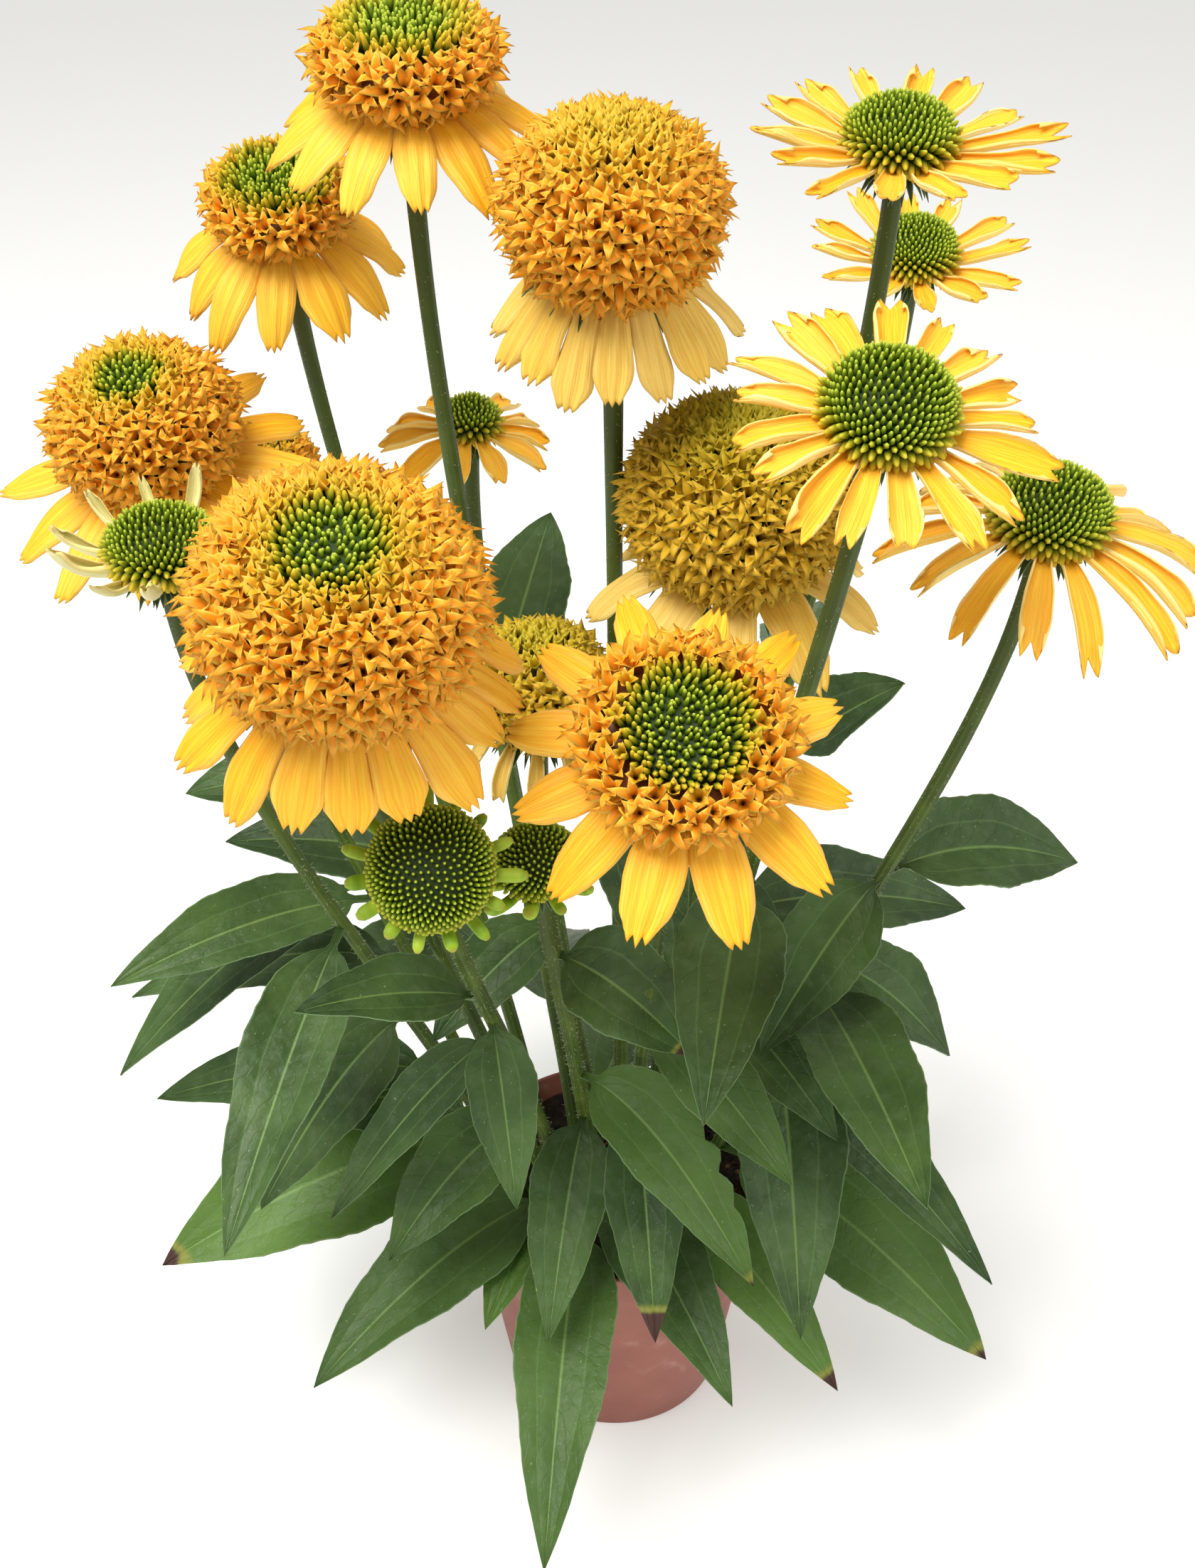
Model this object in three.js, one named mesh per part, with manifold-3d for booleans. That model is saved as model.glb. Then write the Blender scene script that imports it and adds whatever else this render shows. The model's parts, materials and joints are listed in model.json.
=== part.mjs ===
// Potted coneflower: a clump of a double yellow coneflower standing in a round plastic nursery pot.
// Millimetres, +Z up. The origin is the middle of the pot's underside, and -Y is the front.

import * as THREE from "three";
import { mergeVertices } from "three/addons/utils/BufferGeometryUtils.js";
import Module from "manifold-3d";

const wasm = await Module();
wasm.setup();

// Driving dimensions

// The play left between pieces that rest on one another.
const GAP = 0.3;

const POT = {
  height: 110,
  rimRadius: 64,
  baseRadius: 47,
  wall: 2,
  floor: 3,
  bandHeight: 14,
  bandStep: 2.5,
  sides: 32,
  drainRadius: 4,
  drainRing: 30,
  drains: 4,
};

const SOIL = { top: 101, clearance: 0.5, rings: 2, sides: 16, unevenness: 1.6 };

// A stem leaves the soil steeper than the line to its head, by rise, and comes up along the head's axis. The
// reaches are how far each end of its curve pulls, as shares of its span.
const STEM = {
  radius: 2.7,
  sides: 6,
  steps: 6,
  depth: 18,
  rise: 0.35,
  lowReach: 0.35,
  topReach: 0.3,
  holeRadius: 4.6,
  holeSides: 5,
  holeLength: 29,
};

// The green cup that carries a head, as shares of the head's radius, with its rings of bracts. The rings give
// how far out the valleys and tips of the bracts stand, and how high, as shares of the cup's size.
const CUP = {
  hubShare: 0.46,
  topShare: 0.39,
  heightShare: 0.28,
  height: 2,
  bracts: 12,
  rings: [
    { valley: 0.6, tip: 1.3, valleyRise: 0.3, tipRise: 0 },
    { valley: 0.9, tip: 1.7, valleyRise: 0.7, tipRise: 0.36 },
  ],
};

// A leaf's stations run from its stalk to its tip. Its edges stand above its midrib by fold, and it rolls by
// up to faceFront degrees about its own length, so that its upper face shows at the front.
const LEAF = {
  thickness: 1.4,
  stalkShare: 0.12,
  stalkWidth: 3.4,
  stations: 5,
  archShare: 0.42,
  fold: 0.3,
  wave: 0.1,
  faceFront: 30,
  ringLag: 0.001,
};

// The rays of a head stand on a thin hub, in two layers at slightly different angles (degrees). At most
// roomShare of the way round is filled by them at any place.
const RAY = { hubThickness: 1.6, layerAngle: 3, roomShare: 0.88 };

// Colours are sRGB, as the plant shows them in daylight.
const COLOURS = {
  pot: 0x8a5044,
  soil: 0x231a17,
  stem: 0x4b6228,
  gold: 0xf2a52e,
  pale: 0xe6c463,
  lime: 0x9dbb45,
  orange: 0xf0a32a,
  olive: 0xc9a038,
  green: 0x5f8c22,
};

// Each flower head: the middle of its dome, the lean of its axis from upright and the compass direction
// that it leans to (degrees from +X), where its stem stands in the soil, and the shape of its dome:
// radius, height above and depth below the widest place, and how far below it the rays are set.
const HEADS = [
  {
    id: "a", at: [-66, 21, 556], lean: 14, toward: -87, root: [-13, 4],
    radius: 31, up: 14, low: 13, sunk: 9, florets: [28, 7], floretTip: 5, centre: { radius: 18, height: 8 },
    rays: { kind: "broad", count: 13, length: 37, width: 13, start: -12, end: -58, colour: "gold" },
  },
  {
    id: "b", at: [-116, 64, 501], lean: 20, toward: -91, root: [-26, 14],
    radius: 27, up: 12, low: 13, sunk: 9, florets: [24, 5], floretTip: 5, centre: { radius: 17, height: 8 },
    rays: { kind: "broad", count: 12, length: 37, width: 13, start: -12, end: -68, colour: "gold" },
  },
  {
    id: "c", at: [-3, -29, 525], lean: 17, toward: -91, root: [3, 5],
    radius: 34, up: 27, low: 25, sunk: 17, florets: [28, 10], floretTip: 5.5,
    rays: { kind: "broad", count: 16, length: 34, width: 13, start: -38, end: -66, colour: "pale" },
  },
  {
    id: "d", at: [86, 17, 534], lean: 11, toward: -87, root: [19, 9],
    radius: 19, up: 11, low: 9, sunk: 6, cone: true,
    rays: { kind: "narrow", count: 14, length: 40, width: 8, start: 4, end: 20, colour: "gold" },
  },
  {
    id: "e", at: [118, 155, 456], lean: 14, toward: -88, root: [25, 27],
    radius: 18, up: 12, low: 10, sunk: 7, cone: true,
    rays: { kind: "narrow", count: 12, length: 36, width: 8, start: 4, end: 18, colour: "gold" },
  },
  {
    id: "f", at: [70, -105, 494], lean: 25, toward: -83, root: [15, -9],
    radius: 20, up: 13, low: 9, sunk: 6, cone: true,
    rays: { kind: "narrow", count: 17, length: 36, width: 8, start: 6, end: -14, colour: "gold" },
  },
  {
    id: "g", at: [130, -56, 441], lean: 12, toward: -76, root: [30, -3],
    radius: 20, up: 13, low: 9, sunk: 6, cone: true,
    rays: { kind: "narrow", count: 14, length: 42, width: 9, start: 0, end: -40, colour: "gold" },
  },
  {
    id: "h", at: [38, -18, 427], lean: 11, toward: -95, root: [11, 15],
    radius: 38, up: 33, low: 28, sunk: 20, florets: [32, 11], floretTip: 6,
    rays: { kind: "broad", count: 9, length: 42, width: 15, start: -18, end: -62, turn: 25, colour: "pale" },
  },
  {
    id: "i", at: [17, -130, 406], lean: 34, toward: -88, root: [3, -17],
    radius: 33, up: 12, low: 13, sunk: 8, florets: [28, 6], floretTip: 5.5, centre: { radius: 18, height: 7 },
    rays: { kind: "broad", count: 12, length: 40, width: 14, start: -4, end: -24, turn: 18, colour: "gold" },
  },
  {
    id: "j", at: [-56, -135, 364], lean: 46, toward: -83, root: [-10, -27],
    radius: 19, up: 10, low: 8, sunk: 5, cone: true,
    rays: { kind: "bud", count: 15, length: 20, width: 4.6, start: -10, end: 30, colour: "lime" },
  },
  {
    id: "k", at: [-160, 16, 439], lean: 21, toward: -102, root: [-37, 2],
    radius: 33, up: 25, low: 20, sunk: 14, florets: [28, 8], floretTip: 5.5, centre: { radius: 11, height: 6 },
    rays: { kind: "broad", count: 12, length: 45, width: 14, start: -4, end: -34, colour: "gold" },
  },
  {
    id: "l", at: [-144, -46, 425], lean: 10, toward: -87, root: [-32, -10],
    radius: 19, up: 10, low: 9, sunk: 6, cone: true,
    rays: { kind: "quill", count: 11, length: 30, width: 5, start: -12, end: 66, turn: 10, colour: "pale" },
  },
  {
    id: "m", at: [-77, -130, 449], lean: 24, toward: -84, root: [-22, -17],
    radius: 41, up: 29, low: 28, sunk: 21, florets: [32, 10], floretTip: 6, centre: { radius: 15, height: 6 },
    rays: { kind: "broad", count: 17, length: 40, width: 15, start: -16, end: -64, colour: "gold" },
  },
  {
    id: "n", at: [-57, 110, 403], lean: 8, toward: -72, root: [-14, 27],
    radius: 13, up: 9, low: 7, sunk: 5, cone: true,
    rays: { kind: "narrow", count: 11, length: 28, width: 8, start: 2, end: -26, colour: "gold" },
  },
  {
    id: "o", at: [-28, -14, 356], lean: 10, toward: -82, root: [-5, 9],
    radius: 26, up: 21, low: 18, sunk: 13, florets: [24, 8], floretTip: 5,
    rays: { kind: "narrow", count: 12, length: 24, width: 6, start: -20, end: -75, colour: "pale" },
  },
  {
    id: "p", at: [-144, 140, 370], lean: 13, toward: -57, root: [-25, 28],
    radius: 22, up: 16, low: 15, sunk: 11, florets: [20, 6], floretTip: 4.5,
  },
  {
    id: "r", at: [-27, -96, 339], lean: 16, toward: -108, root: [-6, -7],
    radius: 14.5, up: 10, low: 7, sunk: 5, cone: true,
    rays: { kind: "bud", count: 11, length: 18, width: 4.6, start: -25, end: 70, colour: "lime" },
  },
];

// Each leaf: the stem that it grows on, the height where it leaves it, its tip, its greatest width, and how
// high it arches over the straight line to its tip.
const LEAVES = [
  { stem: "j", height: 112, tip: [-27, -168, 74], width: 38, arch: 38 },
  { stem: "m", height: 118, tip: [-118, -98, 88], width: 40, arch: 26 },
  { stem: "m", height: 110, tip: [-52, -78, 98], width: 24, arch: 20 },
  { stem: "k", height: 125, tip: [-186, -45, 98], width: 58, arch: 26 },
  { stem: "k", height: 240, tip: [-200, -12, 172], width: 32, arch: 28 },
  { stem: "k", height: 205, tip: [-208, 44, 166], width: 32, arch: 24 },
  { stem: "l", height: 178, tip: [-190, -2, 150], width: 34, arch: 20 },
  { stem: "j", height: 262, tip: [-108, -100, 280], width: 26, arch: 10 },
  { stem: "j", height: 240, tip: [-106, -88, 170], width: 22, arch: 18 },
  { stem: "l", height: 212, tip: [-138, -62, 148], width: 38, arch: 22 },
  { stem: "l", height: 150, tip: [-138, -4, 148], width: 34, arch: 18 },
  { stem: "j", height: 250, tip: [-36, -108, 196], width: 25, arch: 12 },
  { stem: "r", height: 290, tip: [24, -106, 266], width: 36, arch: 12 },
  { stem: "r", height: 208, tip: [50, -102, 150], width: 34, arch: 32 },
  { stem: "i", height: 184, tip: [14, -108, 126], width: 30, arch: 16 },
  { stem: "r", height: 125, tip: [44, -110, 92], width: 36, arch: 24 },
  { stem: "g", height: 195, tip: [68, -108, 128], width: 42, arch: 26 },
  { stem: "g", height: 130, tip: [148, -78, 80], width: 50, arch: 30 },
  { stem: "f", height: 118, tip: [86, -98, 86], width: 32, arch: 20 },
  { stem: "g", height: 284, tip: [52, -58, 224], width: 34, arch: 12 },
  { stem: "g", height: 284, tip: [176, 4, 266], width: 40, arch: 20 },
  { stem: "g", height: 238, tip: [130, -25, 194], width: 34, arch: 16 },
  { stem: "f", height: 232, tip: [80, -78, 200], width: 28, arch: 12 },
  { stem: "e", height: 250, tip: [120, 96, 292], width: 36, arch: 6 },
  { stem: "n", height: 285, tip: [-28, 172, 334], width: 42, arch: 4 },
  { stem: "b", height: 230, tip: [-162, 58, 238], width: 38, arch: 16 },
  { stem: "p", height: 225, tip: [-190, 112, 226], width: 38, arch: 18 },
  { stem: "d", height: 140, tip: [124, 10, 126], width: 38, arch: 16 },
  { stem: "c", height: 300, tip: [20, -62, 248], width: 32, arch: 12 },
  { stem: "b", height: 180, tip: [-142, 92, 140], width: 40, arch: 24 },
  { stem: "p", height: 150, tip: [-112, 150, 104], width: 42, arch: 26 },
  { stem: "p", height: 250, tip: [-62, 178, 222], width: 34, arch: 16 },
  { stem: "n", height: 150, tip: [-40, 168, 100], width: 44, arch: 30 },
  { stem: "e", height: 170, tip: [130, 140, 120], width: 44, arch: 26 },
  { stem: "e", height: 300, tip: [70, 178, 262], width: 32, arch: 16 },
  { stem: "h", height: 190, tip: [28, 138, 146], width: 40, arch: 24 },
  { stem: "d", height: 230, tip: [150, 62, 200], width: 38, arch: 18 },
  { stem: "o", height: 135, tip: [30, 150, 92], width: 44, arch: 26 },
  { stem: "e", height: 125, tip: [104, 112, 84], width: 42, arch: 22 },
  { stem: "i", height: 240, tip: [60, -110, 210], width: 28, arch: 12 },
  { stem: "m", height: 172, tip: [-86, -88, 148], width: 34, arch: 20 },
  { stem: "r", height: 176, tip: [-26, -106, 124], width: 30, arch: 20 },
  { stem: "o", height: 240, tip: [-70, -40, 214], width: 30, arch: 14 },
  { stem: "h", height: 250, tip: [66, 4, 226], width: 28, arch: 12 },
  { stem: "g", height: 227, tip: [100, -142, 232], width: 38, arch: 12 },
  { stem: "l", height: 258, tip: [-133, -138, 205], width: 34, arch: 12 },
  { stem: "f", height: 288, tip: [26, -140, 267], width: 38, arch: 18 },
  { stem: "g", height: 189, tip: [145, -79, 125], width: 28, arch: 14 },
  { stem: "k", height: 233, tip: [-191, -30, 233], width: 32, arch: 16 },
];

// Small tools

const UP = new THREE.Vector3(0, 0, 1);
const EAST = new THREE.Vector3(1, 0, 0);
const radians = THREE.MathUtils.degToRad;

// A repeatable draw between 0 and 1 for a pair of whole numbers.
function draw(i, j) {
  const value = Math.sin(i * 12.9898 + j * 78.233) * 43758.5453;
  return value - Math.floor(value);
}

function spread(i, j, amount) {
  return (2 * draw(i, j) - 1) * amount;
}

// Turns a closed geometry into a solid that can be joined and cut.
function solidOf(geometry) {
  const bare = geometry.clone();
  bare.deleteAttribute("normal");
  bare.deleteAttribute("uv");
  const merged = mergeVertices(bare, 1e-4);
  return new wasm.Manifold(
    new wasm.Mesh({
      numProp: 3,
      vertProperties: new Float32Array(merged.attributes.position.array),
      triVerts: new Uint32Array(merged.index.array),
    }),
  );
}

function joined(solids) {
  return solids.reduce((whole, next) => whole.add(next));
}

function meshOf(name, solid, colour, roughness) {
  const { vertProperties, triVerts } = solid.getMesh();
  const geometry = new THREE.BufferGeometry();
  geometry.setAttribute("position", new THREE.BufferAttribute(vertProperties, 3));
  geometry.setIndex(new THREE.BufferAttribute(triVerts, 1));
  geometry.computeVertexNormals();
  const material = new THREE.MeshStandardMaterial({ color: COLOURS[colour], roughness, metalness: 0 });
  const mesh = new THREE.Mesh(geometry, material);
  mesh.name = name;
  return mesh;
}

// A closed skin over rings of points. Each ring lists its points and, for each, the share of the way round
// at which it lies. Two rings are joined by triangles in the order of those shares, and a ring of one point
// is a tip. The first and the last ring are closed by a fan unless they are left open.
function skinCorners(rings, openFirst = false, openLast = false) {
  const corners = [];
  const triangle = (a, b, c) => {
    if (a === b || b === c || c === a) return;
    corners.push(...a.toArray(), ...b.toArray(), ...c.toArray());
  };
  for (let r = 0; r + 1 < rings.length; r += 1) {
    const near = rings[r];
    const far = rings[r + 1];
    let i = 0;
    let j = 0;
    while (i < near.points.length || j < far.points.length) {
      const nearNext = near.shares[i + 1] ?? (i < near.points.length ? 1 : Infinity);
      const farNext = far.shares[j + 1] ?? (j < far.points.length ? 1 : Infinity);
      const a = near.points[i % near.points.length];
      const b = far.points[j % far.points.length];
      if (farNext <= nearNext) {
        triangle(a, far.points[(j + 1) % far.points.length], b);
        j += 1;
      } else {
        triangle(a, near.points[(i + 1) % near.points.length], b);
        i += 1;
      }
    }
  }
  const first = rings[0].points;
  const last = rings[rings.length - 1].points;
  if (!openFirst) {
    for (let i = 1; i + 1 < first.length; i += 1) triangle(first[0], first[i + 1], first[i]);
  }
  if (!openLast) {
    for (let i = 1; i + 1 < last.length; i += 1) triangle(last[0], last[i], last[i + 1]);
  }
  return corners;
}

function geometryOf(corners) {
  const geometry = new THREE.BufferGeometry();
  geometry.setAttribute("position", new THREE.Float32BufferAttribute(corners, 3));
  return geometry;
}

function evenRing(points) {
  return { points, shares: points.map((_, i) => i / points.length) };
}

// The pot and its filling

function potSolid() {
  const { height, rimRadius, baseRadius, wall, floor, bandHeight, bandStep } = POT;
  const bodyTop = rimRadius - bandStep;
  const profile = [
    [0, 0],
    [baseRadius, 0],
    [bodyTop, height - bandHeight],
    [rimRadius - 1, height - bandHeight],
    [rimRadius, height],
    [rimRadius - wall, height],
    [bodyTop - wall, height - bandHeight],
    [baseRadius - wall, floor],
    [0, floor],
  ];
  const outline = profile.map(([radius, z]) => new THREE.Vector2(radius, z));
  const body = solidOf(new THREE.LatheGeometry(outline, POT.sides).rotateX(Math.PI / 2));
  const holes = [];
  for (let i = 0; i < POT.drains; i += 1) {
    const angle = ((i + 0.5) / POT.drains) * 2 * Math.PI;
    const hole = new THREE.CylinderGeometry(POT.drainRadius, POT.drainRadius, 4 * floor, 6);
    hole.rotateX(Math.PI / 2);
    hole.translate(POT.drainRing * Math.cos(angle), POT.drainRing * Math.sin(angle), 0);
    holes.push(solidOf(hole));
  }
  return body.subtract(joined(holes));
}

// The inner radius of the pot's wall at a height.
function potInside(z) {
  const { height, rimRadius, baseRadius, wall, floor, bandHeight, bandStep } = POT;
  const bandFoot = height - bandHeight;
  if (z > bandFoot) {
    return THREE.MathUtils.mapLinear(z, bandFoot, height, rimRadius - bandStep - wall, rimRadius - wall);
  }
  return THREE.MathUtils.mapLinear(z, floor, bandFoot, baseRadius - wall, rimRadius - bandStep - wall);
}

function soilSolid(stems) {
  const bottom = POT.floor + GAP;
  const shrink = SOIL.clearance + POT.rimRadius * (1 - Math.cos(Math.PI / POT.sides));
  const bandFoot = POT.height - POT.bandHeight;
  const outline = [new THREE.Vector2(0, bottom), new THREE.Vector2(potInside(bottom) - shrink, bottom)];
  outline.push(new THREE.Vector2(potInside(bandFoot) - shrink, bandFoot));
  for (let ring = SOIL.rings; ring > 0; ring -= 1) {
    const radius = ((potInside(SOIL.top) - shrink) * ring) / SOIL.rings;
    outline.push(new THREE.Vector2(radius, SOIL.top));
  }
  outline.push(new THREE.Vector2(0, SOIL.top));
  const geometry = new THREE.LatheGeometry(outline, SOIL.sides).rotateX(Math.PI / 2);
  geometry.deleteAttribute("normal");
  geometry.deleteAttribute("uv");
  const merged = mergeVertices(geometry, 1e-3);
  const place = merged.attributes.position;
  for (let i = 0; i < place.count; i += 1) {
    if (place.getZ(i) > SOIL.top - 0.01) place.setZ(i, SOIL.top + spread(i, 3, SOIL.unevenness));
  }
  const holes = stems.map((stem) => solidOf(stemHole(stem)));
  return solidOf(merged).subtract(joined(holes));
}

// Stems

// A head's own frame: its origin is where the rays are set, and its Z axis is the head's axis.
function headFrame(head) {
  const lean = radians(head.lean);
  const toward = radians(head.toward);
  const side = Math.sin(lean);
  const axis = new THREE.Vector3(side * Math.cos(toward), side * Math.sin(toward), Math.cos(lean));
  const base = new THREE.Vector3(...head.at).addScaledVector(axis, -head.sunk);
  const turn = new THREE.Quaternion().setFromUnitVectors(UP, axis);
  return { axis, base, turn, matrix: new THREE.Matrix4().compose(base, turn, new THREE.Vector3(1, 1, 1)) };
}

function hubRadius(head) {
  return CUP.hubShare * head.radius;
}

function cupHeight(head) {
  return CUP.heightShare * head.radius + CUP.height;
}

// How far the top of the cup lies below the head's origin.
function cupTop(head) {
  return head.rays ? 2 * GAP + RAY.hubThickness : GAP;
}

function stemCurve(head) {
  const { axis, base } = headFrame(head);
  const foot = new THREE.Vector3(...head.root, SOIL.top - STEM.depth);
  const top = base.clone().addScaledVector(axis, -cupTop(head) - cupHeight(head));
  const span = top.distanceTo(foot);
  const rise = top.clone().sub(foot).normalize().addScaledVector(UP, STEM.rise).normalize();
  const low = foot.clone().addScaledVector(rise, STEM.lowReach * span);
  const high = top.clone().addScaledVector(axis, -STEM.topReach * span);
  return new THREE.CubicBezierCurve3(foot, low, high, top);
}

// The direction in which a stem leaves the soil.
function footDirection(curve) {
  return curve.getPoint(1 / STEM.steps).sub(curve.getPoint(0)).normalize();
}

// A stem and the green cup at its top that carries the head, with rings of pointed bracts.
function stemGeometry(head, curve) {
  const { axis } = headFrame(head);
  const radius = CUP.topShare * head.radius;
  const height = cupHeight(head);
  const top = curve.getPoint(1);
  const rings = [];
  let across = EAST.clone();
  const ringAt = (middle, along, count, outAt, riseAt) => {
    const side = new THREE.Vector3().crossVectors(along, across);
    const points = Array.from({ length: count }, (_, i) => {
      const turn = (i / count) * 2 * Math.PI;
      const out = across.clone().multiplyScalar(Math.cos(turn)).addScaledVector(side, Math.sin(turn));
      return middle.clone().addScaledVector(out, outAt(i)).addScaledVector(along, riseAt(i));
    });
    rings.push(evenRing(points));
  };
  for (let i = 0; i <= STEM.steps; i += 1) {
    const along = i === 0 ? footDirection(curve) : curve.getTangent(i / STEM.steps);
    across = across.clone().addScaledVector(along, -across.dot(along)).normalize();
    ringAt(curve.getPoint(i / STEM.steps), along, STEM.sides, () => STEM.radius, () => 0);
  }
  CUP.rings.forEach(({ valley, tip, valleyRise, tipRise }, ring) => {
    const isTip = (i) => (i + ring) % 2 === 1;
    const outAt = (i) => (isTip(i) ? tip : valley) * radius;
    const riseAt = (i) => (isTip(i) ? tipRise : valleyRise) * height;
    ringAt(top, axis, CUP.bracts, outAt, riseAt);
  });
  ringAt(top, axis, CUP.bracts, () => radius, () => height);
  return geometryOf(skinCorners(rings));
}

// The plain hole in the soil that a stem stands in.
function stemHole(head) {
  const curve = stemCurve(head);
  const length = STEM.holeLength + GAP;
  const along = footDirection(curve);
  const hole = new THREE.CylinderGeometry(STEM.holeRadius, STEM.holeRadius, length, STEM.holeSides);
  hole.rotateX(Math.PI / 2);
  hole.applyQuaternion(new THREE.Quaternion().setFromUnitVectors(UP, along));
  const middle = curve.getPoint(0).addScaledVector(along, length / 2 - GAP);
  return hole.translate(middle.x, middle.y, middle.z);
}

// The share of a stem's curve at which it reaches a height, found by halving.
function shareAtHeight(curve, height) {
  let low = 0;
  let high = 1;
  while (high - low > 1e-6) {
    const middle = (low + high) / 2;
    if (curve.getPoint(middle).z < height) low = middle;
    else high = middle;
  }
  return low;
}

// Leaves

// The half width of a lanceolate blade, as a share of its greatest, at a share of its length.
function bladeShape(share) {
  return 2.81 * share ** 0.6 * (1 - share) ** 0.95;
}

// A leaf: a short stalk and a blade folded along its midrib, with waved edges. Its rings count their middles
// a little later one after another, so that both faces are split into triangles alike.
function leafGeometry(leaf, index, curve) {
  const base = curve.getPoint(shareAtHeight(curve, leaf.height));
  const tip = new THREE.Vector3(...leaf.tip);
  const over = base.clone().lerp(tip, LEAF.archShare).addScaledVector(UP, leaf.arch);
  const midrib = new THREE.QuadraticBezierCurve3(base, over, tip);
  const reach = tip.clone().sub(base).setZ(0).normalize();
  const across = new THREE.Vector3().crossVectors(reach, UP);
  const rings = [];
  for (let i = 0; i < LEAF.stations; i += 1) {
    const share = i === 0 ? 0 : THREE.MathUtils.mapLinear(i, 1, LEAF.stations, LEAF.stalkShare, 1);
    const blade = Math.max(0, (share - LEAF.stalkShare) / (1 - LEAF.stalkShare));
    const isStalk = i < 2;
    const half = isStalk ? LEAF.stalkWidth / 2 : (leaf.width / 2) * bladeShape(blade);
    const along = midrib.getTangent(share);
    const side = across.clone().applyAxisAngle(along, radians(LEAF.faceFront * reach.x));
    const normal = new THREE.Vector3().crossVectors(side, along).normalize();
    const middle = midrib.getPoint(share);
    const edge = (step) => {
      const wave = isStalk ? 0 : LEAF.wave * half * Math.sin(2.3 * i + 2 * step + index);
      const lift = LEAF.fold * half + wave;
      return middle.clone().addScaledVector(side, step * half).addScaledVector(normal, lift);
    };
    const rib = middle.clone().addScaledVector(normal, -LEAF.thickness);
    const later = i * LEAF.ringLag;
    rings.push({ points: [edge(-1), middle, edge(1), rib], shares: [0, 0.25 + later, 0.5, 0.75 + later] });
  }
  rings.push(evenRing([tip]));
  return geometryOf(skinCorners(rings));
}

// Rays

// Where a ray has got to at a share of its length, when it bends evenly from one slope to another.
function rayPoint(radius, length, start, end, share) {
  const slope = start + (end - start) * share;
  const bend = length / (end - start);
  return {
    radius: radius + bend * (Math.sin(slope) - Math.sin(start)),
    height: bend * (Math.cos(start) - Math.cos(slope)),
    slope,
  };
}

// Each kind of ray: [share of the length, share of the half width] of its rows past the hub, the places of
// its end across it with how far each tooth or notch lies before the full length, and its thickness.
const RAY_FORMS = {
  broad: {
    rows: [[0.36, 0.95], [0.72, 1]],
    end: [[-0.8, 0.03], [-0.4, 0.07], [0, 0], [0.4, 0.07], [0.8, 0.03]],
    thickness: 1.4,
    twist: 4,
  },
  narrow: {
    rows: [[0.5, 1]],
    end: [[-0.6, 0], [0, 0.08], [0.6, 0.03]],
    thickness: 1.2,
    twist: 12,
  },
  quill: {
    rows: [[0.38, 1], [0.72, 0.9]],
    end: [[0, 0]],
    thickness: 1.2,
    twist: 8,
  },
  bud: {
    rows: [[0.75, 1]],
    end: [[0, 0]],
    thickness: 1.2,
    twist: 0,
  },
};

// One ray as rings of right edge, left edge and ridge, ending in an edge with teeth. The rays lie in two
// layers, turn about, and stay narrow enough at their roots to pass clear of their neighbours.
function rayRings(head, i) {
  const { kind, count, width } = head.rays;
  const { rows, end, thickness, twist } = RAY_FORMS[kind];
  const seed = head.id.charCodeAt(0);
  const layer = i % 2 === 0 ? RAY.layerAngle : -RAY.layerAngle;
  const length = head.rays.length * (1 + spread(i, seed, 0.12));
  const start = radians(head.rays.start + 0.5 * layer);
  const finish = radians(head.rays.end + layer + spread(i, seed + 2, 4));
  const lean = radians(spread(i, seed + 3, twist));
  const turn = ((i + spread(i, seed + 4, 0.03)) / count) * 2 * Math.PI + radians(head.rays.turn ?? 0);
  const pointAt = (share) => rayPoint(hubRadius(head), length, start, finish, share);
  const place = (share, across, lift) => {
    const { radius, height, slope } = pointAt(share);
    const along = new THREE.Vector3(Math.cos(slope), 0, Math.sin(slope));
    const side = new THREE.Vector3(0, 1, 0).applyAxisAngle(along, lean * share);
    const normal = new THREE.Vector3().crossVectors(along, side);
    const at = new THREE.Vector3(radius, 0, height - GAP - RAY.hubThickness);
    return at.addScaledVector(side, across).addScaledVector(normal, lift).applyAxisAngle(UP, turn);
  };
  const rings = [[0, 1], ...rows].map(([share, breadth]) => {
    const room = (RAY.roomShare * Math.PI * pointAt(share).radius) / count;
    const half = Math.min((breadth * width) / 2, room);
    return {
      points: [place(share, -half, 0), place(share, half, 0), place(share, 0, thickness)],
      shares: [0, 0.5, 0.51],
    };
  });
  const edge = end.map(([across, short]) => place(1 - short, (across * width) / 2, 0));
  const back = edge.slice(1, -1).reverse();
  rings.push(evenRing([...edge, ...back]));
  return rings;
}

// A whorl of rays standing on one thin hub.
function raysSolid(head) {
  const corners = [];
  const triangle = (...places) => places.forEach((at) => corners.push(...at.toArray()));
  const top = new THREE.Vector3(0, 0, -GAP);
  const foot = new THREE.Vector3(0, 0, -GAP - RAY.hubThickness);
  const whorl = Array.from({ length: head.rays.count }, (_, i) => rayRings(head, i));
  whorl.forEach((rings, i) => {
    const [right, left, ridge] = rings[0].points;
    const nextRight = whorl[(i + 1) % whorl.length][0].points[0];
    triangle(top, right, ridge);
    triangle(top, ridge, left);
    triangle(top, left, nextRight);
    triangle(foot, left, right);
    triangle(foot, nextRight, left);
    corners.push(...skinCorners(rings, true, true));
  });
  return solidOf(geometryOf(corners));
}

// Domes of florets

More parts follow.
